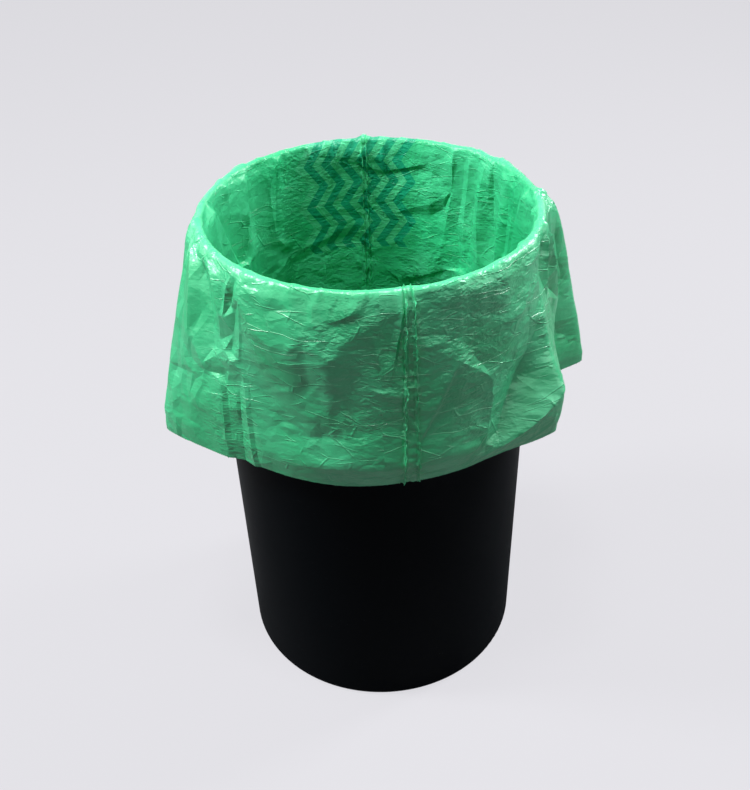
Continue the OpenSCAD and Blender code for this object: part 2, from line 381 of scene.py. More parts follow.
# Sharp creases of the lining, the same way, millimetres down from the rim
liningCreases = [
    [(176, 3, 6), (170, 22, 7), (163, 56, 8), (157, 84, 7), (151, 130, 4)],
    [(170, 4, 0.5), (166, 20, 0.5), (160, 54, 1), (154, 84, 1)],
    [(145.4, 4, 3.4), (147.7, 38, 7), (150.2, 88, 6.4), (152, 130, 4)],
    [(143.4, 4, 0), (145.2, 40, -0.4), (147.6, 90, 0.2)],
    [(129.2, 4, 3), (131.4, 14, 4.2), (133.3, 30, 3.6), (132, 80, 1.6)],
    [(127.6, 5, 0), (129.6, 20, -0.2), (130.6, 44, 0.2)],
    [(104.2, 2, 0.5), (104, 11, 3)],
    [(83.6, 2, 0.5), (83.8, 14, 3.2)],
    [(54.4, 2, 1), (54.2, 12, 3.4)],
    [(35.6, 2, 1), (35.4, 20, 3.4), (35.3, 37, 4.4)],
    [(84, 29, 2), (75, 24, 3), (65, 17, 2)],
    [(84, 32, 0.4), (75, 28, 0.8), (66, 22, 0.6)],
    [(72, 74, 0.2), (64, 72, 0.2), (58, 62, 0.4)],
    [(72, 66, 3), (65, 60, 5), (58, 50, 4.6)],
    [(53.4, 8, 1), (54.4, 40, 3), (57, 80, 4), (60, 125, 4.4)],
    [(49.6, 6, 0), (50, 40, 0.4), (52, 80, 0.8)],
    [(46.6, 4, 2.4), (46.8, 30, 5), (48, 70, 6), (49, 125, 6)],
    [(42.4, 3, 0), (43.2, 25, -1), (44, 52, -1), (43.6, 90, -0.6), (42.6, 125, 0)],
    [(38.4, 4, 3), (39.4, 30, 5.4), (39.8, 60, 6), (38.6, 100, 6), (37.4, 125, 5)],
    [(34.6, 4, 0.4), (34, 30, 0), (33, 60, 0.4), (31.6, 110, 0.6)],
    [(28.4, 3, 2.4), (27.6, 30, 5), (26.6, 60, 5.4), (26, 100, 5)],
    [(23.6, 4, 0.4), (23, 40, 0.4), (23.4, 80, 0.8)],
    [(18.6, 4, 2.5), (19.2, 30, 4), (21, 78, 4)],
    [(14.4, 5, 0), (16, 35, 0.4), (19, 78, 0.8)],
    [(9, 4, 5), (13, 35, 7), (18, 78, 6)],
    [(2, 6, 1), (5, 40, 2), (8, 80, 2)],
    [(78, 150, 3.6), (68, 142, 3.8), (58, 130, 3.4), (47, 120, 2.4)],
    [(78, 153, 1.6), (68, 145, 1.6), (58, 133, 1.4)],
    [(150, 82, 2.6), (138, 88, 0.4), (131, 96, 0), (122, 90, 2)],
    [(128, 92, 3.8), (124, 99, 2.6)],
    [(116, 112, 0.6), (107, 102, 0.2), (98, 98, 0.4)],
    [(114, 100, 2.6), (104, 92, 3.2), (96, 88, 2.6)],
]


def turned(a, b):
    return (a - b + 180.0) % 360.0 - 180.0


# A peak over -1 to 1
def crest(x):
    return np.clip(1.0 - np.abs(x), 0.0, 1.0) ** bag["crestPower"]


# A soft hump round one angle
def hump(a, middle, half, power):
    return np.exp(-(turned(a, middle) / half) ** power)


def humps(a, rows):
    total = sum(strength * hump(a, middle, half, power) for middle, half, power, strength in rows)
    return np.clip(total, 0, 1)


def calmness(a):
    return 1 - 0.9 * humps(a, calmAt)


# In the functions below, a is an angle, t the share of the way down, u and v are the
# places of columns and rows on the flat film, p are points, and x, y and h points of a net


def flareAt(a, t):
    total = np.zeros_like(a + t)
    for angle, before, after, reach, early in flares:
        off = turned(a, angle)
        off = np.where(off < 0, off / before, off / after)
        total += reach * np.clip(1.0 - np.abs(off), 0, 1) ** bag["flarePower"] * t ** early
    return total


def foldsAt(a, t, rows):
    total = np.zeros_like(a + t)
    for row in rows:
        middle = row[0] + (row[1] - row[0]) * t
        half = row[2] + (row[3] - row[2]) * t
        deep = 1.0
        if len(row) > 5:
            growing = np.clip(t / row[5], 0, None) ** bag["foldGrows"]
            deep = np.where(t < row[5], growing, 1 - bag["foldFades"] * (t - row[5]) / (1 - row[5]))
        total += row[4] * crest(turned(a, middle) / half) * deep
    return total


def swellAt(a, depth):
    angle, edge, high = np.array(swell).T
    edge = np.interp(a % 360, angle, edge) / 1000
    high = [np.interp((a + off) % 360, angle, high, 0, 0) for off in swellFall["blur"]]
    fall = 1 - (depth - edge) / (swellFall["least"] + swellFall["more"] * edge)
    return sum(high) / (1000 * len(high)) * np.clip(np.minimum(depth / edge, fall), 0, 1)


def gathersAt(a):
    return sum(bag["gather"] * share * crest(turned(a, angle) / half) for angle, half, share in gathers)


def cuffSlant(angle, rng):
    own = slants["cuff"]
    turn = rng.normal(0, own["level"])
    for corner in slants["corners"]:
        off = turned(angle, corner)
        if abs(off) < slants["near"] and rng.uniform() < slants["often"]:
            turn = math.pi / 2 - off * slants["fan"] + rng.normal(0, slants["fanSpread"])
    if rng.uniform() < own["upright"]:
        turn = math.pi / 2 + rng.normal(0, own["uprightSpread"])
    return turn


def liningSlant(angle, rng):
    own = slants["lining"]
    if rng.uniform() < own["upright"]:
        return math.pi / 2 + rng.normal(0, own["uprightSpread"])
    return rng.normal(0, own["level"])


def rimDrips(angle):
    rng = np.random.default_rng(rim["dripSeed"])
    total = np.zeros_like(angle)
    for place in np.concatenate([rng.uniform(0, 360, rim["drips"]), rim["dripPlaces"]]):
        total += rng.uniform(*rim["dripHeight"]) * crest(turned(angle, place) / rng.uniform(*rim["dripHalf"]))
    return total


# The lifts of the rim, joined by straight runs
def rimLift(angle):
    rng = np.random.default_rng(rim["liftSeed"])
    knots = np.sort(rng.uniform(0, 360, rim["lifts"]))
    lifts = rim["liftLeast"] + rng.uniform(0, 1, rim["lifts"]) ** 3 * rim["liftMore"]
    return np.interp(angle, knots, lifts, period=360)


# Columns lie closer together at the two crease bands
def columnAngles(count):
    a = np.arange(0, 360, 0.05)
    near = np.min([np.abs(turned(a, band)) for band in bag["bandAt"]], axis=0)
    weight = 1 + bag["bandMore"] * np.clip((bag["bandReach"] - near) / bag["bandFade"], 0, 1)
    total = np.concatenate([[0], np.cumsum(weight)])
    return np.interp(np.arange(count) / count * total[-1], total, np.append(a, 360.0))


# Lines that the film follows, from the sizes of bin and bag
lean = (tub["mouthRadius"] - tub["footRadius"]) / tub["height"]
beadZ = tub["height"] - tub["beadRadius"]
beadAt = tub["mouthRadius"] - tub["wall"] - tub["beadIn"] + tub["beadRadius"]
lip = tub["beadRadius"] + bag["gap"]
hang = beadAt + lip
bottomZ = tub["floor"] + bag["lift"]
cuffLength = beadZ - (tub["height"] + bag["gap"] - bag["drop"])
wallEnd = beadZ - (bottomZ + bag["bottomRadius"])

# The columns of the film: their angles, and their places on the flat film
around = 2 * math.pi * bag["layoutRadius"]
columnAngle = columnAngles(bag["columns"])
columnPlace = columnAngle / 360 * around


# A net of flat triangles through scattered points, each with its height. Sides are
# pairs of points that the net has to join; where two cross, the height is that of
# the nearest side
def netThrough(x, y, h, sides=()):
    made = delaunay_2d_cdt([Vector(p) for p in zip(x, y)], [tuple(s) for s in sides], [], 0, 1e-6)
    place = np.array([tuple(p) for p in made[0]])
    level = []
    for p, origin in zip(place, made[3]):
        if origin:
            level.append(h[origin[0]])
            continue
        best = []
        for one, two in sides:
            away, along = p - (x[one], y[one]), np.array((x[two] - x[one], y[two] - y[one]))
            share = min(max(away @ along / (along @ along + 1e-15), 0), 1)
            best.append((np.hypot(*(away - share * along)), h[one] + share * (h[two] - h[one])))
        level.append(min(best)[1])
    return place, np.array(level), np.array(made[2])


# Corners and heights of a net's triangles, two sides of each, and twice its area
def trianglesOf(net):
    place, level, triangles = net
    p, h = place[triangles], level[triangles]
    one, two = p[:, 1] - p[:, 0], p[:, 2] - p[:, 0]
    size = one[:, 0] * two[:, 1] - one[:, 1] * two[:, 0]
    return p, h, one, two, np.where(np.abs(size) < 1e-12, 1e-12, size)


# Heights of a net at the points of a grid, which may lie off their columns (u) and
# rows (v) by less than one step
def heightsOn(net, u, v, gridU, gridV):
    found = np.zeros(gridU.shape)
    place, level, triangles = net
    for tri in triangles:
        p, h = place[tri], level[tri]
        lo, hi = p.min(0), p.max(0)
        i0, i1 = max(np.searchsorted(u, lo[0]) - 1, 0), np.searchsorted(u, hi[0], side="right") + 1
        j0, j1 = max(np.searchsorted(v, lo[1]) - 1, 0), np.searchsorted(v, hi[1], side="right") + 1
        size = (p[1, 0] - p[0, 0]) * (p[2, 1] - p[0, 1]) - (p[2, 0] - p[0, 0]) * (p[1, 1] - p[0, 1])
        if i0 >= len(u) or j0 >= len(v) or abs(size) < 1e-12:
            continue
        x, y = gridU[j0:j1, i0:i1] - p[0, 0], gridV[j0:j1, i0:i1] - p[0, 1]
        one = (x * (p[2, 1] - p[0, 1]) - (p[2, 0] - p[0, 0]) * y) / size
        two = ((p[1, 0] - p[0, 0]) * y - x * (p[1, 1] - p[0, 1])) / size
        inside = (one > -1e-6) & (two > -1e-6) & (one + two < 1 + 1e-6)
        patch = found[j0:j1, i0:i1]
        patch[inside] = (h[0] + one * (h[1] - h[0]) + two * (h[2] - h[0]))[inside]
    return found


# The sides of a net at which its slope changes most, the sharpest first
def sharpSides(net):
    p, h, one, two, size = trianglesOf(net)
    d1, d2 = h[:, 1] - h[:, 0], h[:, 2] - h[:, 0]
    tilt = np.stack([(d1 * two[:, 1] - d2 * one[:, 1]) / size, (d2 * one[:, 0] - d1 * two[:, 0]) / size], -1)
    tilt[np.abs(size) < 1e-9] = 0
    sides = {}
    for k, tri in enumerate(net[2]):
        for m in range(3):
            sides.setdefault(tuple(sorted((tri[m], tri[m - 1]))), []).append(k)
    sharp = [(np.abs(tilt[k[0]] - tilt[k[1]]).sum(), ends) for ends, k in sides.items() if len(k) == 2]
    sharp = [side for side in sharp if side[0] > creasing["drawnFrom"]]
    return [ends for _, ends in sorted(sharp, key=lambda side: (-side[0], side[1]))]


# Draws the nearest grid points onto the net's sharper creases, and notes which
# crease each one lies on, or -1
def drawOnto(net, u, v):
    gridU, gridV = np.meshgrid(u, v)
    onCrease = np.full(gridU.shape, -1)
    stepU, stepV, most = np.gradient(u), v[1] - v[0], creasing["mostDrawn"]
    for number, (one, two) in enumerate(sharpSides(net)):
        (x0, y0), (x1, y1) = net[0][one], net[0][two]
        i = min(max(np.searchsorted(u, x0), 0), len(u) - 1)
        if abs(y1 - y0) * stepU[i] >= abs(x1 - x0) * stepV:
            for j in range(np.searchsorted(v, min(y0, y1)), np.searchsorted(v, max(y0, y1), side="right")):
                x = x0 + (x1 - x0) * (v[j] - y0) / (y1 - y0)
                i = np.abs(u - x).argmin()
                if 0 <= x <= u[-1] and onCrease[j, i] < 0:
                    gridU[j, i] = u[i] + np.clip(x - u[i], -most * stepU[i], most * stepU[i])
                    onCrease[j, i] = number
        else:
            for i in range(np.searchsorted(u, min(x0, x1)), np.searchsorted(u, max(x0, x1), side="right")):
                y = y0 + (y1 - y0) * (u[i] - x0) / (x1 - x0)
                j = int(round((y - v[0]) / stepV))
                if v[0] < y < v[-1] and 0 < j < len(v) - 1 and onCrease[j, i] < 0:
                    gridV[j, i] = v[j] + np.clip(y - v[j], -most * stepV, most * stepV)
                    onCrease[j, i] = number
    return gridU, gridV, onCrease


# Random flat facets of one size, like crumpled film, up to 1 high or deep
def crumple(v, size, jitter, seed):
    rng = np.random.default_rng(seed)
    nu, nv = max(3, round(around / size)), int((v[-1] - v[0]) / size) + 4
    iu, iv = np.meshgrid(np.arange(nu), np.arange(nv))
    x = ((iu + 0.5 * (iv % 2)) * around / nu + rng.uniform(-jitter, jitter, iu.shape) * size) % around
    y = v[0] + (iv - 1.5) * size + rng.uniform(-jitter, jitter, iu.shape) * size
    h = rng.uniform(-1, 1, iu.shape)
    x, y, h = x.ravel(), y.ravel(), h.ravel()
    edge = 4 * size
    left, right = x < edge, x > around - edge
    x = np.concatenate([x, x[left] + around, x[right] - around])
    y, h = np.concatenate([y, y[left], y[right]]), np.concatenate([h, h[left], h[right]])
    return heightsOn(netThrough(x, y, h), columnPlace, v, *np.meshgrid(columnPlace, v))


# Heights of a net at loose points
def heightAt(net, x, y):
    p, h, e1, e2, size = trianglesOf(net)
    dx, dy = x[:, None] - p[:, 0, 0], y[:, None] - p[:, 0, 1]
    one, two = (dx * e2[:, 1] - dy * e2[:, 0]) / size, (dy * e1[:, 0] - dx * e1[:, 1]) / size
    best = np.minimum(np.minimum(one, two), 1 - one - two).argmax(1)
    rows = np.arange(len(x))
    one, two, h = one[rows, best], two[rows, best], h[best]
    return h[:, 0] + one * (h[:, 1] - h[:, 0]) + two * (h[:, 2] - h[:, 0])


# A net through points on the flat film, closed round the back; sides join points
def netAround(x, y, h, sides, edge):
    total = len(x)
    x, y, h = np.concatenate([x, x + around, x - around]), np.tile(y, 3), np.tile(h, 3)
    sides = np.concatenate([sides, sides + total, sides + 2 * total])
    keep = (x > -edge) & (x < around + edge)
    sides = sides[keep[sides[:, 0]] & keep[sides[:, 1]]]
    return netThrough(x[keep], y[keep], h[keep], (np.cumsum(keep) - 1)[sides])


# Loose points as rows of place, height, and distance to the nearest crease in spacings
def loosePoints(v, one, two, values, calm):
    rng = np.random.default_rng(values["seed"])
    spacing, jitter, along, loose = values["spacing"], creasing["jitter"], two - one, []
    nu, nv = round(around / spacing), int((v[-1] - v[0]) / spacing) + 3
    for iv in range(nv):
        for iu in range(nu):
            x = ((iu + 0.5 * (iv % 2) + rng.uniform(-jitter, jitter)) * around / nu) % around
            y = v[0] + (iv - 1 + rng.uniform(-jitter, jitter)) * spacing
            off = np.stack([(x - one[:, 0] + around / 2) % around - around / 2, y - one[:, 1]], -1)
            share = np.clip((off * along).sum(1) / (along ** 2).sum(1), 0, 1)[:, None]
            near = np.hypot(*(off - share * along).T).min() / spacing
            loose.append((x, y, rng.uniform(0, 1) * values["height"] * calm(x / around * 360), near))
    return np.array(loose)


# The crease net: the listed creases, and loose random points. Far from the creases
# the points stand free, and near them they only ruffle the facets
def creaseNet(v, creases, values, calm=lambda a: 1.0):
    x, y, h, sides = [], [], [], []
    for run in creases:
        for k, (a, d, rise) in enumerate(run):
            sides += [(len(x) - 1, len(x))] if k else []
            x.append(round(a / 360 * around, 6))
            y.append(round(d / 1000, 6))
            h.append(rise / 1000)
    sides, points = np.array(sides), np.stack([x, y], -1)
    loose = loosePoints(v, points[sides[:, 0]], points[sides[:, 1]], values, calm)
    edge, near = 5 * values["spacing"], loose[:, 3]
    free = loose[(near > creasing["free"]) | (loose[:, 1] < -creasing["beyond"] * values["spacing"])]
    tied = loose[(near > creasing["tied"]) & (near <= creasing["free"])]
    x, y, h = np.append(x, free[:, 0]), np.append(y, free[:, 1]), np.append(h, free[:, 2])
    level = heightAt(netAround(x, y, h, sides, edge), tied[:, 0], tied[:, 1])
    level = level + tied[:, 2] - values["height"] / 2
    return netAround(np.append(x, tied[:, 0]), np.append(y, tied[:, 1]), np.append(h, level), sides, edge)


# Long thin creases: each is a flat kite with one steep side, laid in a direction
# that slant gives for its place
def thinCreases(v, values, slant):
    rng = np.random.default_rng(values["thinSeed"])
    total = np.zeros((len(v), len(columnPlace)))
    for _ in range(values["thin"]):
        middle, height = rng.uniform(0, around), rng.uniform(v[0], v[-1])
        length = values["length"] * rng.lognormal(0, thinCrease["spread"])
        turn = slant(middle / around * 360, rng)
        gentle, steep = (length * rng.uniform(*thinCrease[side]) for side in ("gentle", "steep"))
        rise = gentle * rng.uniform(*thinCrease["rise"]) * rng.choice([1, 1, -1])
        side = rng.choice([1, -1])
        j0, j1 = np.searchsorted(v, (height - 0.6 * length, height + 0.6 * length))
        if j0 >= j1:
            continue
        du = (columnPlace[None, :] - middle + around / 2) % around - around / 2
        near = np.nonzero(np.abs(du[0]) < 0.6 * length)[0]
        du, dv = du[:, near], v[j0:j1][:, None] - height
        along = du * math.cos(turn) + dv * math.sin(turn)
        across = (dv * math.cos(turn) - du * math.sin(turn)) * side
        taper = np.clip(1 - np.abs(2 * along / length), 0, 1)
        width = np.where(across < 0, gentle, steep) * taper + 1e-9
        total[j0:j1, near] += rise * taper * np.clip(1 - np.abs(across) / width, 0, 1)
    return total


# A small blur, round the columns and along the rows
def soften(field, times):
    for _ in range(times):
        field = (np.roll(field, 1, 1) + 2 * field + np.roll(field, -1, 1)) / 4
        padded = np.concatenate([field[:1], field, field[-1:]])
        field = (padded[:-2] + 2 * padded[1:-1] + padded[2:]) / 4
    return field


# The crease bands: two thin ridges with crimped film between them. Each ridge: degrees
# off the band at the rim and at the hem, and its height. Angles in degrees
bands = {
    "ridges": {
        280.5: [(-1.0, -2.7, 0.0022), (0.8, 1.9, 0.0019)],
        91.5: [(-0.8, -1.0, 0.0016), (0.9, 1.1, 0.0014)],
    },
    "ridgeHalf": 0.42,
    "wander": 0.35,
    "uneven": 0.6,
    "drift": -0.5,
    "half": 2.9,
    "fade": 0.8,
    "crimpSize": 0.0032,
    "crimpJitter": 0.42,
    "crimpHeight": 0.0008,
    "rowStep": 0.002,
    "seed": 31,
}


def bandAt(a, depth):
    rng = np.random.default_rng(bands["seed"])
    t = np.clip(1000 * np.abs(depth) / (1000 * bag["drop"]), 0, 1)
    v = np.arange(len(depth)) * bands["rowStep"]
    crimps = crumple(v, bands["crimpSize"], bands["crimpJitter"], bands["seed"])
    total = np.zeros_like(a + t)
    for band, ridges in bands["ridges"].items():
        away = np.abs(turned(a, band + bands["drift"] * t))
        total += np.clip((bands["half"] - away) / bands["fade"], 0, 1) * bands["crimpHeight"] * crimps
        for top, bottom, rise in ridges:
            wander = soften(rng.uniform(-1, 1, (len(depth), 1)), 2) * bands["wander"]
            uneven = 1 + bands["uneven"] * soften(rng.uniform(-1, 1, (len(depth), 1)), 1)
            off = np.abs(turned(a, band + top + (bottom - top) * t + wander))
            ridge = np.clip(1 - off / bands["ridgeHalf"], -0.12, 1) * (off < 0.9)
            total += rise * uneven * ridge * np.clip(t / 0.02, 0.4, 1)
    return total


# How the sheet settles. Slack is the extra length in the film, in shares
settling = {
    "cuffSlack": 0.012,
    "liningSlack": 0.014,
    "uneven": [(0.020, 60, 41), (0.016, 8, 42)],    # uneven slack: share, blurs, seed
    "unevenDown": 0.4,          # share of all slack that the rows have along them
    "spreadPower": 0.25,        # how far up the cuff the width of its lower half is kept
    "slantStiffness": 0.6,
    "fall": 0.00002,
    "keep": 0.90,               # share of its speed that a point keeps
    "coarse": {"steps": 60, "sweeps": 6, "bend": 0.06, "hold": 0.10, "reach": 8},
    "fine": {"steps": 24, "sweeps": 5, "bend": 0.03, "hold": 0.05, "reach": 10},
    "outside": 0.15,            # share of the settled detail that is kept
    "insideMore": 0.08,         # and how much more on the inside, from a depth on
    "insideFrom": 0.03,
    "reach": 7,                 # what is detail: smaller than this many points
    "most": 0.0045,             # how far it may move a point at all
    "dip": 0.0005,              # how far a point may sink on the rim
}


# Draws pairs of points to their rest distance; shift says the far points sit one
# column on, round the seam
def drawPairs(near, far, rest, stiff, shift):
    other = np.roll(far, -1, 2) if shift > 0 else far
    start = np.roll(near, -1, 2) if shift < 0 else near
    gap = other - start
    gap *= 0.5 * stiff * (1 - rest / (np.sqrt((gap * gap).sum(0)) + 1e-9))
    near += np.roll(gap, 1, 2) if shift < 0 else gap
    far -= np.roll(gap, 1, 2) if shift > 0 else gap


def sweep(p, wide, tall, slant):
    rows = p.shape[1]
    drawPairs(p[:, :, 0::2], p[:, :, 1::2], wide[:, 0::2], 1.0, 0)
    drawPairs(p[:, :, 1::2], p[:, :, 0::2], wide[:, 1::2], 1.0, 1)
    for odd in (0, 1):
        low, high, use = slice(odd, rows - 1, 2), slice(odd + 1, rows, 2), slice(odd, None, 2)
        drawPairs(p[:, low], p[:, high], tall[use], 1.0, 0)
        for shift in (1, -1):
            drawPairs(p[:, low], p[:, high], slant[use], settling["slantStiffness"], shift)


# How far each point is from the mean of its neighbours
def bentness(p):
    edge = np.concatenate([p[:, :1], p, p[:, -1:]], 1)
    return (np.roll(p, 1, 2) + np.roll(p, -1, 2) + edge[:, :-2] + edge[:, 2:]) / 4 - p


def boxBlur(f, reach):
    wrapped = np.cumsum(np.concatenate([f[..., -reach:], f, f[..., :reach]], -1), -1)
    f = (wrapped[..., 2 * reach:] - wrapped[..., :-2 * reach]) / (2 * reach)
    first, last = np.repeat(f[:, :1], reach, 1), np.repeat(f[:, -1:], reach, 1)
    padded = np.cumsum(np.concatenate([first, f, last], 1), 1)
    return (padded[:, 2 * reach:] - padded[:, :-2 * reach]) / (2 * reach)


# Distances between points of the sheet, to the next column or to the next row
def stepsRound(p):
    return np.sqrt(((np.roll(p, -1, 2) - p) ** 2).sum(0))


def stepsDown(p):
    return np.sqrt(((p[:, 1:] - p[:, :-1]) ** 2).sum(0))


# How far from the axis the lining may reach at a height
def innerLimit(z):
    return np.minimum(tub["footRadius"] - tub["wall"] + lean * z - bag["gap"], beadAt - lip)


# Moves points off the bin: out of its bead, and past its wall on their own side
def pushOff(p):
    side = np.array([1] * bag["cuffRows"] + [0] * bag["lipRows"] + [-1] * bag["upperRows"])
    side = side[::(len(side) - 1) // (p.shape[1] - 1)][:, None]
    r, z = np.hypot(p[0], p[1]), p[2]
    dr, dz = r - beadAt, z - beadZ
    d = np.hypot(dr, dz) + 1e-9
    inside, below = d < lip, z < beadZ
    newR = np.where(inside, beadAt + dr / d * lip, r)
    p[2] = np.where(inside, beadZ + dz / d * lip, z)
    out = (side > 0) | ((side == 0) & (dr > 0))
    newR = np.where(below & out, np.maximum(newR, hang), newR)
    newR = np.where(below & ~out, np.minimum(newR, innerLimit(z)), newR)
    p[:2] *= newR / r


# Lets the sheet settle: it falls a little, is drawn to its lengths, is kept off the
# bin, and stays close to its first shape in the large
def settle(p, wide, tall, steps, sweeps, bend, hold, reach):
    slant = np.sqrt(((wide[:-1] + wide[1:]) / 2) ** 2 + ((tall + np.roll(tall, -1, 1)) / 2) ** 2)
    goal, before, foot = p.copy(), p.copy(), p[:, -1].copy()
    for _ in range(steps):
        now = p.copy()
        p += settling["keep"] * (p - before)
        p[2] -= settling["fall"]
        p += hold * boxBlur(goal - p, reach)
        before = now
        for _ in range(sweeps):
            sweep(p, wide, tall, slant)
            p -= bend * bentness(bentness(p))
            p[:, -1] = foot
        pushOff(p)
    return p


# Twice as many rows and columns, on a smooth curve through the old points
def finer(p):
    right, left, far = np.roll(p, -1, 2), np.roll(p, 1, 2), np.roll(p, -2, 2)
    wide = np.empty((3, p.shape[1], 2 * p.shape[2]))
    wide[:, :, 0::2], wide[:, :, 1::2] = p, (9 * (p + right) - left - far) / 16
    edge = np.concatenate([2 * wide[:, :1] - wide[:, 1:2], wide, 2 * wide[:, -1:] - wide[:, -2:-1]], 1)
    tall = np.empty((3, 2 * p.shape[1] - 1, wide.shape[2]))
    tall[:, 0::2] = wide
    tall[:, 1::2] = (9 * (wide[:, :-1] + wide[:, 1:]) - edge[:, :-3] - edge[:, 3:]) / 16
    return tall


# Even noise round the columns, about one in size
def evenNoise(rows, columns, times, seed):
    field = soften(np.random.default_rng(seed).normal(size=(rows, columns)), times)
    return field / field.std()


# The cuff as a grid, from the hem up: distance from the axis and height of each
# point, its angle, distance below the rim, soft shape, thin creases and crease number
def cuffGrid():
    v = np.linspace(cuffLength, 0, bag["cuffRows"])[::-1]
    net = creaseNet(v, cuffCreases, creasing["cuff"], calmness)
    gridU, gridV, onCrease = drawOnto(net, columnPlace, v)
    a, down = gridU[::-1] / around * 360, gridV[::-1]
    t = down / cuffLength
    fade = np.clip(t / bag["fadeTop"], 0, 1)
    sharp = heightsOn(net, columnPlace, v, gridU, gridV)[::-1]
    sharp += (soften(sharp, 1) - sharp) * humps(a, roundedAt)
    curl = bag["curl"] * (bag["curlLeast"] + (1 - bag["curlLeast"]) * hump(a, *bag["curlMost"]))
    soft = (bag["ease"] * t ** bag["easePower"] + flareAt(a, t) + bag["fold"] * foldsAt(a, t, cuffFolds)
            - curl * np.clip((t - bag["curlFrom"]) / (1 - bag["curlFrom"]), 0, 1))
    lift = gathersAt(a) + rimLift(a)
    height = soften(soft + lift * (1 - t) ** 3, 2) + fade * sharp + soften(swellAt(a, down), 1)
    thin = fade * calmness(a) * thinCreases(v, creasing["cuff"], cuffSlant)[::-1]
    place = np.stack([(hang + np.maximum(height, 0)), beadZ - down], -1)
    return {"place": place, "angle": a, "down": down, "soft": soft, "thin": thin, "onCrease": onCrease[::-1]}


def lipGrid():
    lift = (gathersAt(columnAngle) + rimLift(columnAngle))[None, :]
    w = np.linspace(0, math.pi, bag["lipRows"] + 2)[1:-1][:, None]
    reach = lip + lift * np.cos(w / 2)
    return np.stack([beadAt + reach * np.cos(w), beadZ + reach * np.sin(w)], -1)


# The lining as such a grid, from the rim down, in two runs: the upper one shows and
# is finer
def liningGrid():
    top = bag["upperRows"]
    v = np.concatenate([np.linspace(0, bag["upperDepth"], top),
                        np.linspace(bag["upperDepth"], wallEnd, bag["lowerRows"] + 1)[1:]])
    net = creaseNet(v, liningCreases, creasing["lining"])
    gridU, gridV, onCrease = drawOnto(net, columnPlace, v[:top])
    gridU = np.concatenate([gridU, np.repeat(columnPlace[None], bag["lowerRows"], 0)])
    down = np.concatenate([gridV, np.repeat(v[top:, None], bag["columns"], 1)])
    a, t = gridU / around * 360, down / wallEnd
    fade = np.clip(down / bag["fadeIn"], 0, 1)
    deepen = (np.sin(np.radians(bag["pleatArc"] * t)) / math.sin(math.radians(bag["pleatArc"]))) ** 0.5
    inward = soften(bag["pleat"] * foldsAt(a, t, pleats) * deepen, 2)
    inward = inward + fade * heightsOn(net, columnPlace, down[:, 0], gridU, down)
    inward = inward + rimDrips(a) * np.clip(1 - down / rim["dripLength"], 0, 1)
    thin = fade * thinCreases(down[:, 0], creasing["lining"], liningSlant)
    z = beadZ - down
    place = np.stack([innerLimit(z) - np.maximum(inward, 0), z], -1)
    return {"place": place, "angle": a, "down": down, "thin": thin, "onCrease": onCrease}


# The round bottom edge and the floor up to the seal, as distance from the axis and height
def bottomGrid():
    deep = bag["pleat"] * foldsAt(columnAngle[None, :], np.ones((1, 1)), pleats)
    r0 = tub["footRadius"] - tub["wall"] + lean * bottomZ - bag["gap"] - bag["bottomRadius"]
    w = np.linspace(0, math.pi / 2, bag["turnRows"] + 1)[1:][:, None]
    reach = bag["bottomRadius"] - deep
    turn = np.stack([r0 + reach * np.cos(w), bottomZ + bag["bottomRadius"] - reach * np.sin(w)], -1)
    t = np.linspace(0, 1, bag["floorRows"] + 1)[1:][:, None]
    floor = np.stack([r0 + (bag["knotRadius"] - r0) * t + 0 * deep,
                      bottomZ + deep * (1 - 0.6 * t) + bag["sealHeight"] * t ** 4], -1)
    return np.concatenate([turn, floor])


# Rest lengths of the sheet, round the columns and along the rows, with uneven slack
def restLengths(start, a, soft):
    count, cuffCount = start.shape[1], bag["cuffRows"]
    turnTo = np.radians(a[:cuffCount])
    hanging = np.stack([(hang + soft) * np.cos(turnTo), (hang + soft) * np.sin(turnTo)])
    spread = stepsRound(hanging)[:cuffCount // 2].mean(0)
    share = np.clip(1 - np.arange(count) / (cuffCount + 2), 0, 1)[:, None] ** settling["spreadPower"]
    extra = np.where(np.arange(count) < cuffCount, settling["cuffSlack"], settling["liningSlack"])[:, None]
    noise = 1 + extra
    for slack, blurs, seed in settling["uneven"]:
        noise = noise + slack * evenNoise(count, bag["columns"], blurs, seed)
    wide = (share * spread + (1 - share) * stepsRound(start)) * noise
    ends = (0, cuffCount - 1, cuffCount + bag["lipRows"], count - 1)
    steps = stepsDown(start)
    runs = [np.repeat(steps[low:high].mean(0)[None], high - low, 0) for low, high in zip(ends, ends[1:])]
    return wide, soften(np.concatenate(runs), 4) * (1 + settling["unevenDown"] * (noise[1:] - 1))


# Lets the grid of points settle and keeps a share of the detail that this gives
def settled(start, wide, tall, depth):
    p = start[:, ::2, ::2].copy()
    p = settle(p, wide[::2, ::2] + wide[::2, 1::2], tall[::2, ::2] + tall[1::2, ::2], **settling["coarse"])
    print("sheet settled, coarse")
    p = settle(finer(p), wide, tall, **settling["fine"])
    print("sheet settled, fine")
    detail = (p - boxBlur(p, settling["reach"])) - (start - boxBlur(start, settling["reach"]))
    detail *= np.minimum(1, settling["most"] / (np.sqrt((detail ** 2).sum(0)) + 1e-9))
    share = settling["outside"] + settling["insideMore"] * np.clip(-depth / settling["insideFrom"], 0, 1)
    p = start + share * detail
    onLip = slice(bag["cuffRows"], bag["cuffRows"] + bag["lipRows"])
    p[2, onLip] = np.maximum(p[2, onLip], start[2, onLip] - settling["dip"])
    return p


# Moves points out along the normals of the sheet
def raised(p, height):
    edge = np.concatenate([p[:, :1], p, p[:, -1:]], 1)
    normal = np.cross(np.roll(p, -1, 2) - np.roll(p, 1, 2), edge[:, 2:] - edge[:, :-2], axis=0)
    return p + height * normal / np.sqrt((normal ** 2).sum(0))


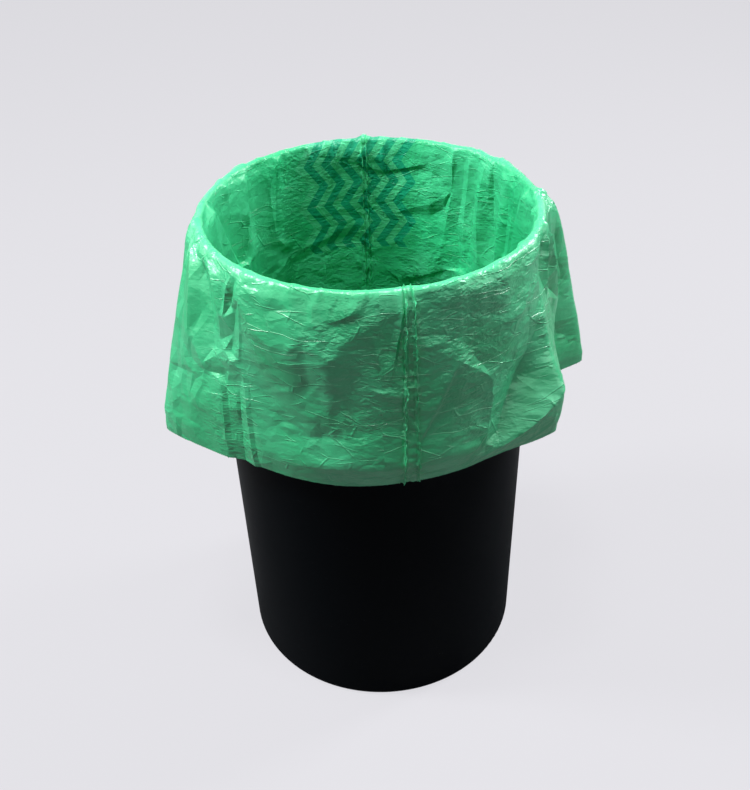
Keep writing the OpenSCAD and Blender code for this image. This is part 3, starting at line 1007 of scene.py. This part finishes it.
# Two triangles for each cell of the grid, split along a crease or else the shorter way
def gridFaces(p, onCrease):
    here, right, rightP = onCrease, np.roll(onCrease, -1, 1), np.roll(p, -1, 2)
    oneWay = (here[:-1] == right[1:]) & (here[:-1] >= 0)
    otherWay = (right[:-1] == here[1:]) & (here[1:] >= 0)
    shorter = ((p[:, :-1] - rightP[:, 1:]) ** 2).sum(0) < ((rightP[:, :-1] - p[:, 1:]) ** 2).sum(0)
    split = (oneWay | ~otherWay & shorter)[..., None]
    number = np.arange(onCrease.size).reshape(onCrease.shape)
    c00, c10 = number[:-1], number[1:]
    c01, c11 = np.roll(number, -1, 1)[:-1], np.roll(number, -1, 1)[1:]
    first = np.where(split, np.stack([c00, c01, c11], -1), np.stack([c00, c01, c10], -1))
    second = np.where(split, np.stack([c00, c11, c10], -1), np.stack([c01, c11, c10], -1))
    return np.concatenate([first.reshape(-1, 3), second.reshape(-1, 3)]).tolist()


# Faces between the last row of the grid and the rows below it, which have the same
# number of points or half as many, and a fan to the tip. Starts and counts say where
# a row's points begin and how many they are
def lowerFaces(starts, counts, tip):
    faces = []
    for s0, n0, s1, n1 in zip(starts, counts, starts[1:], counts[1:]):
        if n0 == n1:
            faces += [(s0 + j, s0 + (j + 1) % n0, s1 + (j + 1) % n1, s1 + j) for j in range(n0)]
            continue
        for j in range(n1):
            f, q, e = s0 + 2 * j, s0 + 2 * j + 1, s0 + (2 * j + 2) % n0
            c, d = s1 + j, s1 + (j + 1) % n1
            faces += [(f, q, c), (q, d, c), (q, e, d)]
    s, n = starts[-1], counts[-1]
    return faces + [(s + j, s + (j + 1) % n, tip) for j in range(n)]


# The flat layout of the film in metres: across from the back crease band, and down
# from the rim. It is written as the uv map that the material reads
flatFilm = {
    "halfRim": 0.0055,          # half of the film's way over the rim
    "bottomRun": 0.17,          # its way from the wall's end to the seal
    "tipRun": 0.01,
    "calmBelow": 0.012,         # distance below the rim from which the calm parts start
    "calmParts": [(204, 14), (356, 12)],    # angles and half widths
    "rimCrush": 0.55,
    "rimReach": 0.006,
}


# Share of fine crumpling: less in the calm parts of the cuff, and more at the rim
def crushAt(a, down):
    share = 1.0
    for middle, half in flatFilm["calmParts"]:
        calm = np.clip(1.1 * hump(a, middle, half, 2), 0, 0.9) * (down < -flatFilm["calmBelow"])
        share = share * (1 - calm)
    return share + flatFilm["rimCrush"] * np.exp(-np.abs(down) / flatFilm["rimReach"])


def readMesh(items, name, length=1):
    values = np.zeros(length * len(items), dtype=int)
    items.foreach_get(name, values)
    return values


def writeLayout(mesh, layout):
    a, down = layout.T
    crush = crushAt(a, down)
    mesh.attributes.new("crush", "FLOAT", "POINT").data.foreach_set("value", crush)
    size = readMesh(mesh.polygons, "loop_total")
    corner = readMesh(mesh.loops, "vertex_index")
    first = np.repeat(a[corner[readMesh(mesh.polygons, "loop_start")]], size)
    across = (turned(first, bag["bandAt"][1]) + turned(a[corner], first)) / 360 * around
    mesh.uv_layers.new(name="film").data.foreach_set("uv", np.stack([across, down[corner]], -1).ravel())


# Smooth faces, with sharp edges where both ends lie on the same crease
def markSharp(mesh, onCrease):
    mesh.polygons.foreach_set("use_smooth", np.ones(len(mesh.polygons), dtype=bool))
    crease = np.full(len(mesh.vertices), -1)
    crease[:onCrease.size] = onCrease.ravel()
    crease = crease[readMesh(mesh.edges, "vertices", 2).reshape(-1, 2)]
    sharp = (crease[:, 0] == crease[:, 1]) & (crease[:, 0] >= 0)
    mesh.attributes.new("sharp_edge", "BOOLEAN", "EDGE").data.foreach_set("value", sharp)


# The rows below the grid, and the tip: their points and their places on the flat
# layout. They have half as many points as the grid, and the bottom has a quarter
def lowerRows(lining):
    top, turnTo = bag["upperRows"], np.radians(columnAngle)
    lower = np.concatenate([lining["place"][top:], bottomGrid()])
    bottomRows = len(lower) - bag["lowerRows"]
    bottomDown = wallEnd + np.linspace(0, flatFilm["bottomRun"], bottomRows + 1)[1:]
    below = np.concatenate([lining["down"][top:, 0], bottomDown]) + flatFilm["halfRim"]
    points, layout = [], []
    for row, down, step in zip(lower, below, [2] * bag["lowerRows"] + [4] * bottomRows):
        r, z = row.T
        points.append(np.stack([r * np.cos(turnTo), r * np.sin(turnTo), z], -1)[::step])
        layout.append(np.stack([columnAngle, np.full(len(r), down)], -1)[::step])
    return (points + [[[0, 0, bottomZ + bag["sealHeight"]]]],
            layout + [[[0, below[-1] + flatFilm["tipRun"]]]])


# The film. The part that shows, from the hem over the rim and down the lining, is one
# grid that settles; returns it too, since the hem and the crease bands follow it
def makeFilm():
    cuff, lining = cuffGrid(), liningGrid()
    top, overRim = bag["upperRows"], np.zeros((bag["lipRows"], bag["columns"]))
    a = np.concatenate([cuff["angle"], overRim + columnAngle, lining["angle"][:top]])
    depth = np.concatenate([cuff["down"], overRim, -lining["down"][:top]])
    thin = creasing["thinShare"] * np.concatenate([cuff["thin"], overRim, lining["thin"][:top]])
    apart = cuff["onCrease"].max() + 1
    inLining = np.where(lining["onCrease"] < 0, -1, lining["onCrease"] + apart)
    onCrease = np.concatenate([cuff["onCrease"], overRim.astype(int) - 1, inLining])
    rows, turnTo = np.concatenate([cuff["place"], lipGrid(), lining["place"][:top]]), np.radians(a)
    start = np.stack([rows[..., 0] * np.cos(turnTo), rows[..., 0] * np.sin(turnTo), rows[..., 1]])
    p = settled(start, *restLengths(start, a, cuff["soft"]), depth)
    fadeIn = np.where(depth > 0, 1, 0.8 * np.clip(-depth / bag["fadeIn"], 0, 1))
    p = raised(p, thin + fadeIn * bandAt(a, depth))
    pushOff(p)

    edge = flatFilm["halfRim"]
    over = np.linspace(-edge, edge, bag["lipRows"] + 2)[1:-1, None] + overRim
    down = np.concatenate([-cuff["down"] - edge, over, lining["down"][:top] + edge])
    lower, lowerLayout = lowerRows(lining)
    points = np.concatenate([p.reshape(3, -1).T] + lower)
    layout = np.concatenate([np.stack([a, down], -1).reshape(-1, 2)] + lowerLayout)
    counts = [bag["columns"]] + [len(row) for row in lower[:-1]]
    starts = (len(rows) - 1) * bag["columns"] + np.cumsum([0] + counts[:-1])
    faces = gridFaces(p, onCrease) + lowerFaces(starts.tolist(), counts, len(points) - 1)
    mesh = bpy.data.meshes.new("bag_film")
    mesh.from_pydata(points.tolist(), [], faces)
    mesh.update()
    writeLayout(mesh, layout)
    markSharp(mesh, onCrease)
    print("film made,", len(points), "points,", sum(len(f) - 2 for f in faces), "triangles")
    return addObject("bag_film", mesh), p


# A Geometry Nodes tree with named inputs, each with its kind and its value; returns
# it with a Wire and the wires of its inputs
def startNodes(name, inputs):
    tree = bpy.data.node_groups.new(name, "GeometryNodeTree")
    tree.interface.new_socket("Geometry", in_out="INPUT", socket_type="NodeSocketGeometry")
    for label, (kind, value) in inputs.items():
        made = tree.interface.new_socket(label, in_out="INPUT", socket_type="NodeSocket" + kind)
        made.default_value = value
    tree.interface.new_socket("Geometry", in_out="OUTPUT", socket_type="NodeSocketGeometry")
    start = tree.nodes.new("NodeGroupInput")
    return tree, Wire(tree), {socket.name: Wire(tree, socket) for socket in start.outputs if socket.name}


def endNodes(wire, geometry, material):
    real = wire.add("GeometryNodeRealizeInstances", {}, {"Geometry": geometry})
    dressed = wire.add("GeometryNodeSetMaterial", {}, {"Geometry": real, "Material": material})
    wire.tree.links.new(dressed.socket, wire.tree.nodes.new("NodeGroupOutput").inputs[0])


# Runs a tree on a plain mesh and keeps the result as a plain mesh
def grown(name, mesh, tree, inputs):
    carrier = addObject(name + "_path", mesh)
    modifier = carrier.modifiers.new("grow", "NODES")
    modifier.node_group = tree
    for item in tree.interface.items_tree:
        if item.in_out == "INPUT" and item.name in inputs:
            modifier[item.identifier] = inputs[item.name][1]
    bpy.context.view_layer.update()
    evaluated = carrier.evaluated_get(bpy.context.evaluated_depsgraph_get())
    made = bpy.data.meshes.new_from_object(evaluated)
    carrier.modifiers.remove(modifier)
    bpy.data.objects.remove(carrier)
    made.name = name
    print(name, "made,", len(made.polygons), "faces")
    return addObject(name, made)


def unit(vectors):
    return vectors / (np.linalg.norm(vectors, axis=-1, keepdims=True) + 1e-12)


# A mesh of points and edges that carries vectors; vectorOf reads them in a tree
def pathMesh(name, points, edges, marks):
    mesh = bpy.data.meshes.new(name)
    mesh.from_pydata(points.tolist(), edges, [])
    for label, vectors in marks.items():
        mesh.attributes.new(label, "FLOAT_VECTOR", "POINT").data.foreach_set("vector", vectors.ravel())
    return mesh


def vectorOf(wire, label):
    return wire.add("GeometryNodeInputNamedAttribute", {"data_type": "FLOAT_VECTOR"}, {"Name": label})


# Columns of values, read between their rows
def between(at, rows, values):
    return np.stack([np.interp(at, rows, column) for column in values.T], -1)


# The torn edge of the hem: one small tooth for each link of the perforation
hem = {
    "pitch": 0.0021,
    "inputs": {
        "Tooth Radius": ("Float", 0.0009),
        "Smallest": ("Float", 0.45),
        "Largest": ("Float", 1.25),
        "Seed": ("Int", 6),
    },
}


def hemTeeth(sheet, material):
    line, above = sheet[:, 0].T, sheet[:, 2].T
    loop = np.concatenate([line, line[:1]])
    length = np.concatenate([[0], np.cumsum(np.linalg.norm(np.diff(loop, axis=0), axis=1))])
    at = np.arange(0, length[-1] - hem["pitch"] / 2, hem["pitch"])
    downward = line - above
    place = between(at, length, loop)
    down = unit(between(at, length, np.concatenate([downward, downward[:1]])))
    mesh = pathMesh("hem_path", place, [], {"down": down, "along": unit(np.roll(place, -1, 0) - place)})
    tree, wire, given = startNodes("hem_teeth", hem["inputs"])
    tooth = wire.add("GeometryNodeMeshCircle", {"fill_type": "NGON"},
                     {"Vertices": 3, "Radius": given["Tooth Radius"]})
    places = wire.add("GeometryNodeMeshToPoints", {}, {"Mesh": given["Geometry"]})
    turn = wire.add("FunctionNodeAxesToRotation", {"primary_axis": "X", "secondary_axis": "Y"},
                    {0: vectorOf(wire, "down"), 1: vectorOf(wire, "along")})
    size = wire.add("FunctionNodeRandomValue", {"data_type": "FLOAT"},
                    {2: given["Smallest"], 3: given["Largest"], "Seed": given["Seed"]}, out=1)
    teeth = wire.add("GeometryNodeInstanceOnPoints", {},
                     {"Points": places, "Instance": tooth, "Rotation": turn, "Scale": size})
    endNodes(wire, teeth, material)
    return grown("hem_teeth", mesh, tree, hem["inputs"])


# Crumpled welts along the ridges of the two crease bands
welt = {
    "rowsBetween": 3,
    "knotAt": 0.047,            # a knot in each welt: distance below the rim, extra height, half length
    "knot": 1.2,
    "knotHalf": 0.006,
    "fullRise": 0.002,          # height of a ridge whose welt has its full height
    "raggedGain": 2.6,          # noise into heights, and into leaning
    "raggedLow": 0.28,
    "leanGain": 4.0,
    "inputs": {
        "Height": ("Float", 0.0022),
        "Ragged": ("Float", 0.75),
        "Fineness": ("Float", 700.0),
        "Lean": ("Float", 0.45),
        "Sway": ("Float", 130.0),
    },
}


def bandWelts(sheet, material):
    rows, count = sheet.shape[1], len(columnAngle)
    places, normals, aside, edges = [], [], [], []
    depth = np.linalg.norm(np.diff(sheet[:, :, 0], axis=1), axis=0).cumsum()
    depth = np.concatenate([[0], depth]) - depth[bag["cuffRows"] - 2]
    fine = np.linspace(0, rows - 1.001, (rows - 1) * welt["rowsBetween"])
    t = np.clip(np.abs(depth) / bag["drop"], 0, 1)
    knot = (np.interp(fine, np.arange(rows), depth) + welt["knotAt"]) / welt["knotHalf"]
    knot = 1 + welt["knot"] * np.exp(-knot ** 2)
    for band, ridges in bands["ridges"].items():
        for top, bottom, rise in ridges:
            column = np.interp(band + top + (bottom - top) * t, columnAngle, np.arange(count))
            low = np.floor(column).astype(int)
            near = [sheet[:, np.arange(rows), (low + k) % count] for k in (-1, 0, 1, 2)]
            line = (near[1] * (1 - (column - low)) + near[2] * (column - low)).T
            side = unit((near[3] - near[0]).T)
            normal = unit(np.cross(side, np.gradient(line, axis=0)))
            first = sum(len(p) for p in places)
            edges += [(first + k, first + k + 1) for k in range(len(fine) - 1)]
            places.append(between(fine, np.arange(rows), line))
            normals.append(between(fine, np.arange(rows), normal) * knot[:, None] * rise / welt["fullRise"])
            aside.append(between(fine, np.arange(rows), side))
    mesh = pathMesh("band_paths", np.concatenate(places), edges,
                    {"out": np.concatenate(normals), "aside": np.concatenate(aside)})
    tree, wire, given = startNodes("band_welts", welt["inputs"])
    place = wire.add("GeometryNodeInputPosition")
    rough, sway = place.noise(given["Fineness"], 1.0), place.noise(given["Sway"], 1.0)
    uneven = given["Ragged"] * welt["raggedGain"] * (rough - welt["raggedLow"])
    tall = given["Height"] * (1.0 - given["Ragged"] + uneven)
    outward = vectorOf(wire, "out").scaled(tall)
    sideways = vectorOf(wire, "aside").scaled(tall * given["Lean"] * welt["leanGain"] * (sway - 0.5))
    fins = wire.add("GeometryNodeExtrudeMesh", {"mode": "EDGES"},
                    {"Mesh": given["Geometry"], "Offset": outward.moved(sideways), "Offset Scale": 1.0})
    endNodes(wire, fins, material)
    return grown("band_welts", mesh, tree, welt["inputs"])


# Film colours and finish. A noise is given by its scale and detail, a step by its ends
filmFinish = {
    "green": (0.026, 0.455, 0.184, 1),
    "paleGreen": (0.054, 0.525, 0.243, 1),
    "clouds": (14.0, 4.0),
    "cloudStep": (0.35, 0.65),
    "printDark": (0.002, 0.290, 0.160, 1),
    "printPale": (0.110, 0.640, 0.330, 1),
    "darkStrength": 0.8,
    "paleStrength": 0.45,
    "roughness": 0.38,
    "specular": 0.25,
    "translucent": 0.22,
    "sheen": 1.0,
    "sheenRoughness": 0.34,
    "sheenIor": 1.62,
    "sheenStep": (0.006, -0.004),    # on the outside only, from the top of the rim down
    "rimDull": 0.9,              # share of the sheen that the rim lacks
    "warp": 0.012,               # how far the facets are pulled out of true, in metres
    "warpNoise": (22.0, 1.0),
    "swell": 0.0008,             # soft unevenness, in metres
    "swellNoise": (45.0, 3.0),
    "busyNoise": (11.0, 2.0),    # where the finest facets are
    "busyStep": (0.38, 0.64),
    "line": 0.00028,             # height of the thin crease lines
    "lineWidth": 0.0016,
}

# Facets: stretch, turn, size in metres, slope, where they are, share left elsewhere
filmFacets = [
    ((1, 1.25, 1), -0.4, 0.030, 0.045, "crushed", 0.2),
    ((1, 1.5, 1), 0.6, 0.017, 0.055, "crushed", 0.15),
    ((2.6, 1, 1), 0, 0.030, 0.100, "calm", 0),
    ((4.5, 1, 1), 0.15, 0.052, 0.090, "rim", 0),
    ((1, 1.6, 1), 0.9, 0.006, 0.100, "busy", 0.25),
    ((1, 2, 1), -0.6, 0.003, 0.100, "busy", 0.25),
]

# Thin crease lines: stretch, turn, size of cells, share of the height, and the noise
# that picks some of them by its scale and two levels
filmLines = [
    (3.6, 0.30, 0.060, 1.2, 31.0, 0.50, 0.58), (3.2, -0.45, 0.052, 1.0, 37.0, 0.52, 0.60),
    (2.6, 1.25, 0.040, 0.8, 41.0, 0.54, 0.62), (1.8, 0.0, 0.016, 0.45, 29.0, 0.52, 0.66),
]

# The zigzag print: across and down in metres, from the back crease band and the rim
filmPrint = {
    "middle": 0.010,
    "pitch": 0.019,
    "stripes": 6,
    "darkShare": 0.52,
    "top": -0.11,
    "bottom": 0.118,
    "rise": 0.044,
    "sway": 0.016,
}


# Masks of the dark and the pale stripes
def printMask(across, down):
    swing = abs(down.maths("FRACT", down / filmPrint["rise"]) - 0.5) * (2 * filmPrint["sway"])
    shifted = across - filmPrint["middle"] + swing - filmPrint["sway"] / 2
    stripe = down.maths("FRACT", shifted / filmPrint["pitch"]) < filmPrint["darkShare"]
    within = abs(shifted) < filmPrint["stripes"] / 2 * filmPrint["pitch"]
    within = within * (down > filmPrint["top"]) * (down < filmPrint["bottom"])
    return stripe * within, (1.0 - stripe) * within


def filmColour(place, across, down):
    cloud = place.noise(*filmFinish["clouds"]).step(*filmFinish["cloudStep"])
    colour = place.mixColour(filmFinish["green"], filmFinish["paleGreen"], cloud)
    dark, pale = printMask(across, down)
    colour = place.mixColour(colour, filmFinish["printDark"], dark * filmFinish["darkStrength"])
    return place.mixColour(colour, filmFinish["printPale"], pale * filmFinish["paleStrength"])


# The film's fine relief. Crush is under 1 in the calm parts and over 1 at the rim. The
# finest facets lie straight on the flat film, the others on a warped one
def filmRelief(place, flat, crush, atRim):
    warped = flat.moved(flat.noise(*filmFinish["warpNoise"], out=1).scaled(filmFinish["warp"]))
    masks = {
        "crushed": crush,
        "calm": crush.maths("MAXIMUM", 1.0 - crush, 0.0),
        "rim": atRim,
        "busy": place.noise(*filmFinish["busyNoise"]).step(*filmFinish["busyStep"]) * crush,
    }
    relief = place.noise(*filmFinish["swellNoise"]) * filmFinish["swell"]
    for stretch, turn, size, slope, where, least in filmFacets:
        layout = flat if where == "busy" else warped
        share = least + (1 - least) * masks[where]
        relief = relief + layout.stretch(stretch, turn).facets(size, slope) * share
    few = crush.maths("MINIMUM", crush, 1.0)
    for tall, turn, size, share, scale, low, high in filmLines:
        line = warped.stretch((1, tall, 1), turn)
        line = line.lines(size, filmFinish["lineWidth"], filmFinish["line"] * share)
        relief = relief + line * (place.noise(scale, 1.0).step(low, high) * few)
    return relief


def filmMaterial():
    material, wire = startMaterial("green_film")
    place = wire.add("ShaderNodeTexCoord", out=3)
    flat = wire.add("ShaderNodeUVMap", {"uv_map": "film"})
    across = wire.add("ShaderNodeSeparateXYZ", {}, {0: flat})
    down = across.beside(1)
    crush = wire.add("ShaderNodeAttribute", {"attribute_name": "crush"}, out=2)
    atRim = wire.maths("MAXIMUM", crush - 1.0, 0.0)
    colour = filmColour(place, across, down)
    outside = down.step(*filmFinish["sheenStep"])
    bump = wire.add("ShaderNodeBump", {}, {
        "Height": filmRelief(place, flat, crush, atRim), "Strength": 1.0, "Distance": 1.0})
    skin = wire.add("ShaderNodeBsdfPrincipled", {}, {
        "Base Color": colour,
        "Roughness": filmFinish["roughness"],
        "Normal": bump,
        "Specular IOR Level": filmFinish["specular"],
        "Coat Weight": outside * filmFinish["sheen"] * (1.0 - filmFinish["rimDull"] * atRim),
        "Coat Roughness": filmFinish["sheenRoughness"],
        "Coat IOR": filmFinish["sheenIor"],
        "Coat Normal": bump,
    })
    through = wire.add("ShaderNodeBsdfTranslucent", {}, {"Color": colour, "Normal": bump})
    endShader(wire, wire.add("ShaderNodeMixShader", {}, {0: filmFinish["translucent"], 1: skin, 2: through}))
    return material


binFinish = {
    "black": (0.0012, 0.0018, 0.0026, 1),
    "dust": (0.10, 0.11, 0.12, 1),
    "specks": 0.35,
    "speckCells": 240.0,
    "speckSize": 0.09,
    "speckNoise": (30.0, 2.0),
    "speckStep": (0.5, 0.75),
    "smudges": 0.03,
    "smudgeNoise": (9.0, 5.0, 0.6),
    "smudgeStep": (0.55, 0.9),
    "smudgeFlat": 0.35,
    "roughness": 0.36,
    "roughnessMore": 0.16,
    "specular": 0.02,
    "grain": 0.0002,
    "grainStrength": 0.25,
    "grainNoise": (900.0, 2.0),
}


def binMaterial():
    material, wire = startMaterial("black_plastic")
    place = wire.add("ShaderNodeTexCoord", out=3)
    smudge = place.stretch((1, 1, binFinish["smudgeFlat"])).noise(*binFinish["smudgeNoise"])
    specks = place.noise(*binFinish["speckNoise"]).step(*binFinish["speckStep"])
    specks = (place.cells(binFinish["speckCells"]) < binFinish["speckSize"]) * specks
    dusty = specks * binFinish["specks"] + smudge.step(*binFinish["smudgeStep"]) * binFinish["smudges"]
    bump = wire.add("ShaderNodeBump", {}, {
        "Height": place.noise(*binFinish["grainNoise"]),
        "Strength": binFinish["grainStrength"],
        "Distance": binFinish["grain"],
    })
    skin = wire.add("ShaderNodeBsdfPrincipled", {}, {
        "Base Color": wire.mixColour(binFinish["black"], binFinish["dust"], dusty),
        "Roughness": binFinish["roughness"] + smudge * binFinish["roughnessMore"],
        "Specular IOR Level": binFinish["specular"],
        "Normal": bump,
    })
    endShader(wire, skin)
    return material


film, sheet = makeFilm()
greenFilm = filmMaterial()
film.data.materials.append(greenFilm)
teeth = hemTeeth(sheet, greenFilm)
welts = bandWelts(sheet, greenFilm)
for piece in (teeth, welts):
    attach(piece, "root")
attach(film, "root")
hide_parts("bin_bag")

binObject = bpy.data.objects["waste_bin"]
binObject.data.materials.clear()
binObject.data.materials.append(binMaterial())
print("bin and bag finished")

# Floor, lights and camera. The camera sees an evener and brighter floor than the light
# that bounces, and reflections see a brighter world. Lamps: place, size and power
studio = {
    "floor": (0.752, 0.745, 0.783, 1),
    "floorHalf": 9,
    "floorGlow": 0.975,
    "floorEven": 0.95,
    "floorBounce": (0.16, 0.16, 0.165, 1),
    "worldSeen": 0.70,
    "worldMirrored": 1.7,
    "world": 0.05,
    "lens": 44.45,
    "eye": (0.0, -0.77007, 0.85884),
    "forward": (-0.00090676, 0.80110174, -0.59852752),
    "up": (0.03363862, 0.59821347, 0.80063043),
    "aim": (0, 0, 0.4),
    "lamps": {
        "top": ((-0.2, -0.28, 2.3), (0.45, 0.35), 44),
        "left": ((-1.7, -0.05, 1.9), (0.4, 0.8), 77),
        "right": ((1.6, 0.7, 1.6), (0.4, 0.8), 59),
        "low": ((1.9, -0.75, 0.85), (0.5, 1.0), 4.5),
    },
}


def makeFloor():
    mesh = bpy.data.meshes.new("floor")
    far = studio["floorHalf"]
    mesh.from_pydata([(-far, -far, 0), (far, -far, 0), (far, far, 0), (-far, far, 0)], [], [(0, 1, 2, 3)])
    floor = addObject("floor", mesh)
    material, wire = startMaterial("pale_floor")
    matt = wire.add("ShaderNodeBsdfDiffuse", {}, {"Color": studio["floor"]})
    even = wire.add("ShaderNodeEmission", {}, {"Color": studio["floor"], "Strength": studio["floorGlow"]})
    seen = wire.add("ShaderNodeLightPath", out=0)
    dim = wire.add("ShaderNodeBsdfDiffuse", {}, {"Color": studio["floorBounce"]})
    lit = wire.add("ShaderNodeMixShader", {}, {0: seen, 1: dim, 2: matt})
    endShader(wire, wire.add("ShaderNodeMixShader", {}, {0: seen * studio["floorEven"], 1: lit, 2: even}))
    mesh.materials.append(material)


def makeLamps():
    for name, (place, size, power) in studio["lamps"].items():
        lamp = bpy.data.lights.new(name, "AREA")
        lamp.shape = "RECTANGLE"
        lamp.size, lamp.size_y = size
        lamp.energy = power
        holder = addObject(name, lamp)
        holder.location = place
        holder.rotation_euler = (Vector(studio["aim"]) - Vector(place)).to_track_quat("-Z", "Y").to_euler()


def makeWorld():
    world = bpy.data.worlds.new("studio")
    bpy.context.scene.world = world
    world.use_nodes = True
    world.node_tree.nodes.clear()
    wire = Wire(world.node_tree)
    seen = wire.add("ShaderNodeLightPath", out=0)
    strength = seen * studio["worldSeen"] + seen.beside(3) * studio["worldMirrored"] + studio["world"]
    back = wire.add("ShaderNodeBackground", {}, {"Color": (1, 1, 1, 1), "Strength": strength})
    endShader(wire, back, "ShaderNodeOutputWorld")


def makeCamera():
    camera = bpy.data.cameras.new("camera")
    camera.sensor_width = 36
    camera.lens = studio["lens"]
    holder = addObject("camera", camera)
    forward, up = Vector(studio["forward"]), Vector(studio["up"])
    right = forward.cross(up)
    holder.matrix_world = Matrix((right, up, -forward)).transposed().to_4x4()
    holder.location = studio["eye"]
    bpy.context.scene.camera = holder


makeFloor()
makeWorld()
makeCamera()
makeLamps()
bpy.context.scene.view_settings.view_transform = "Standard"

print("scene finished")
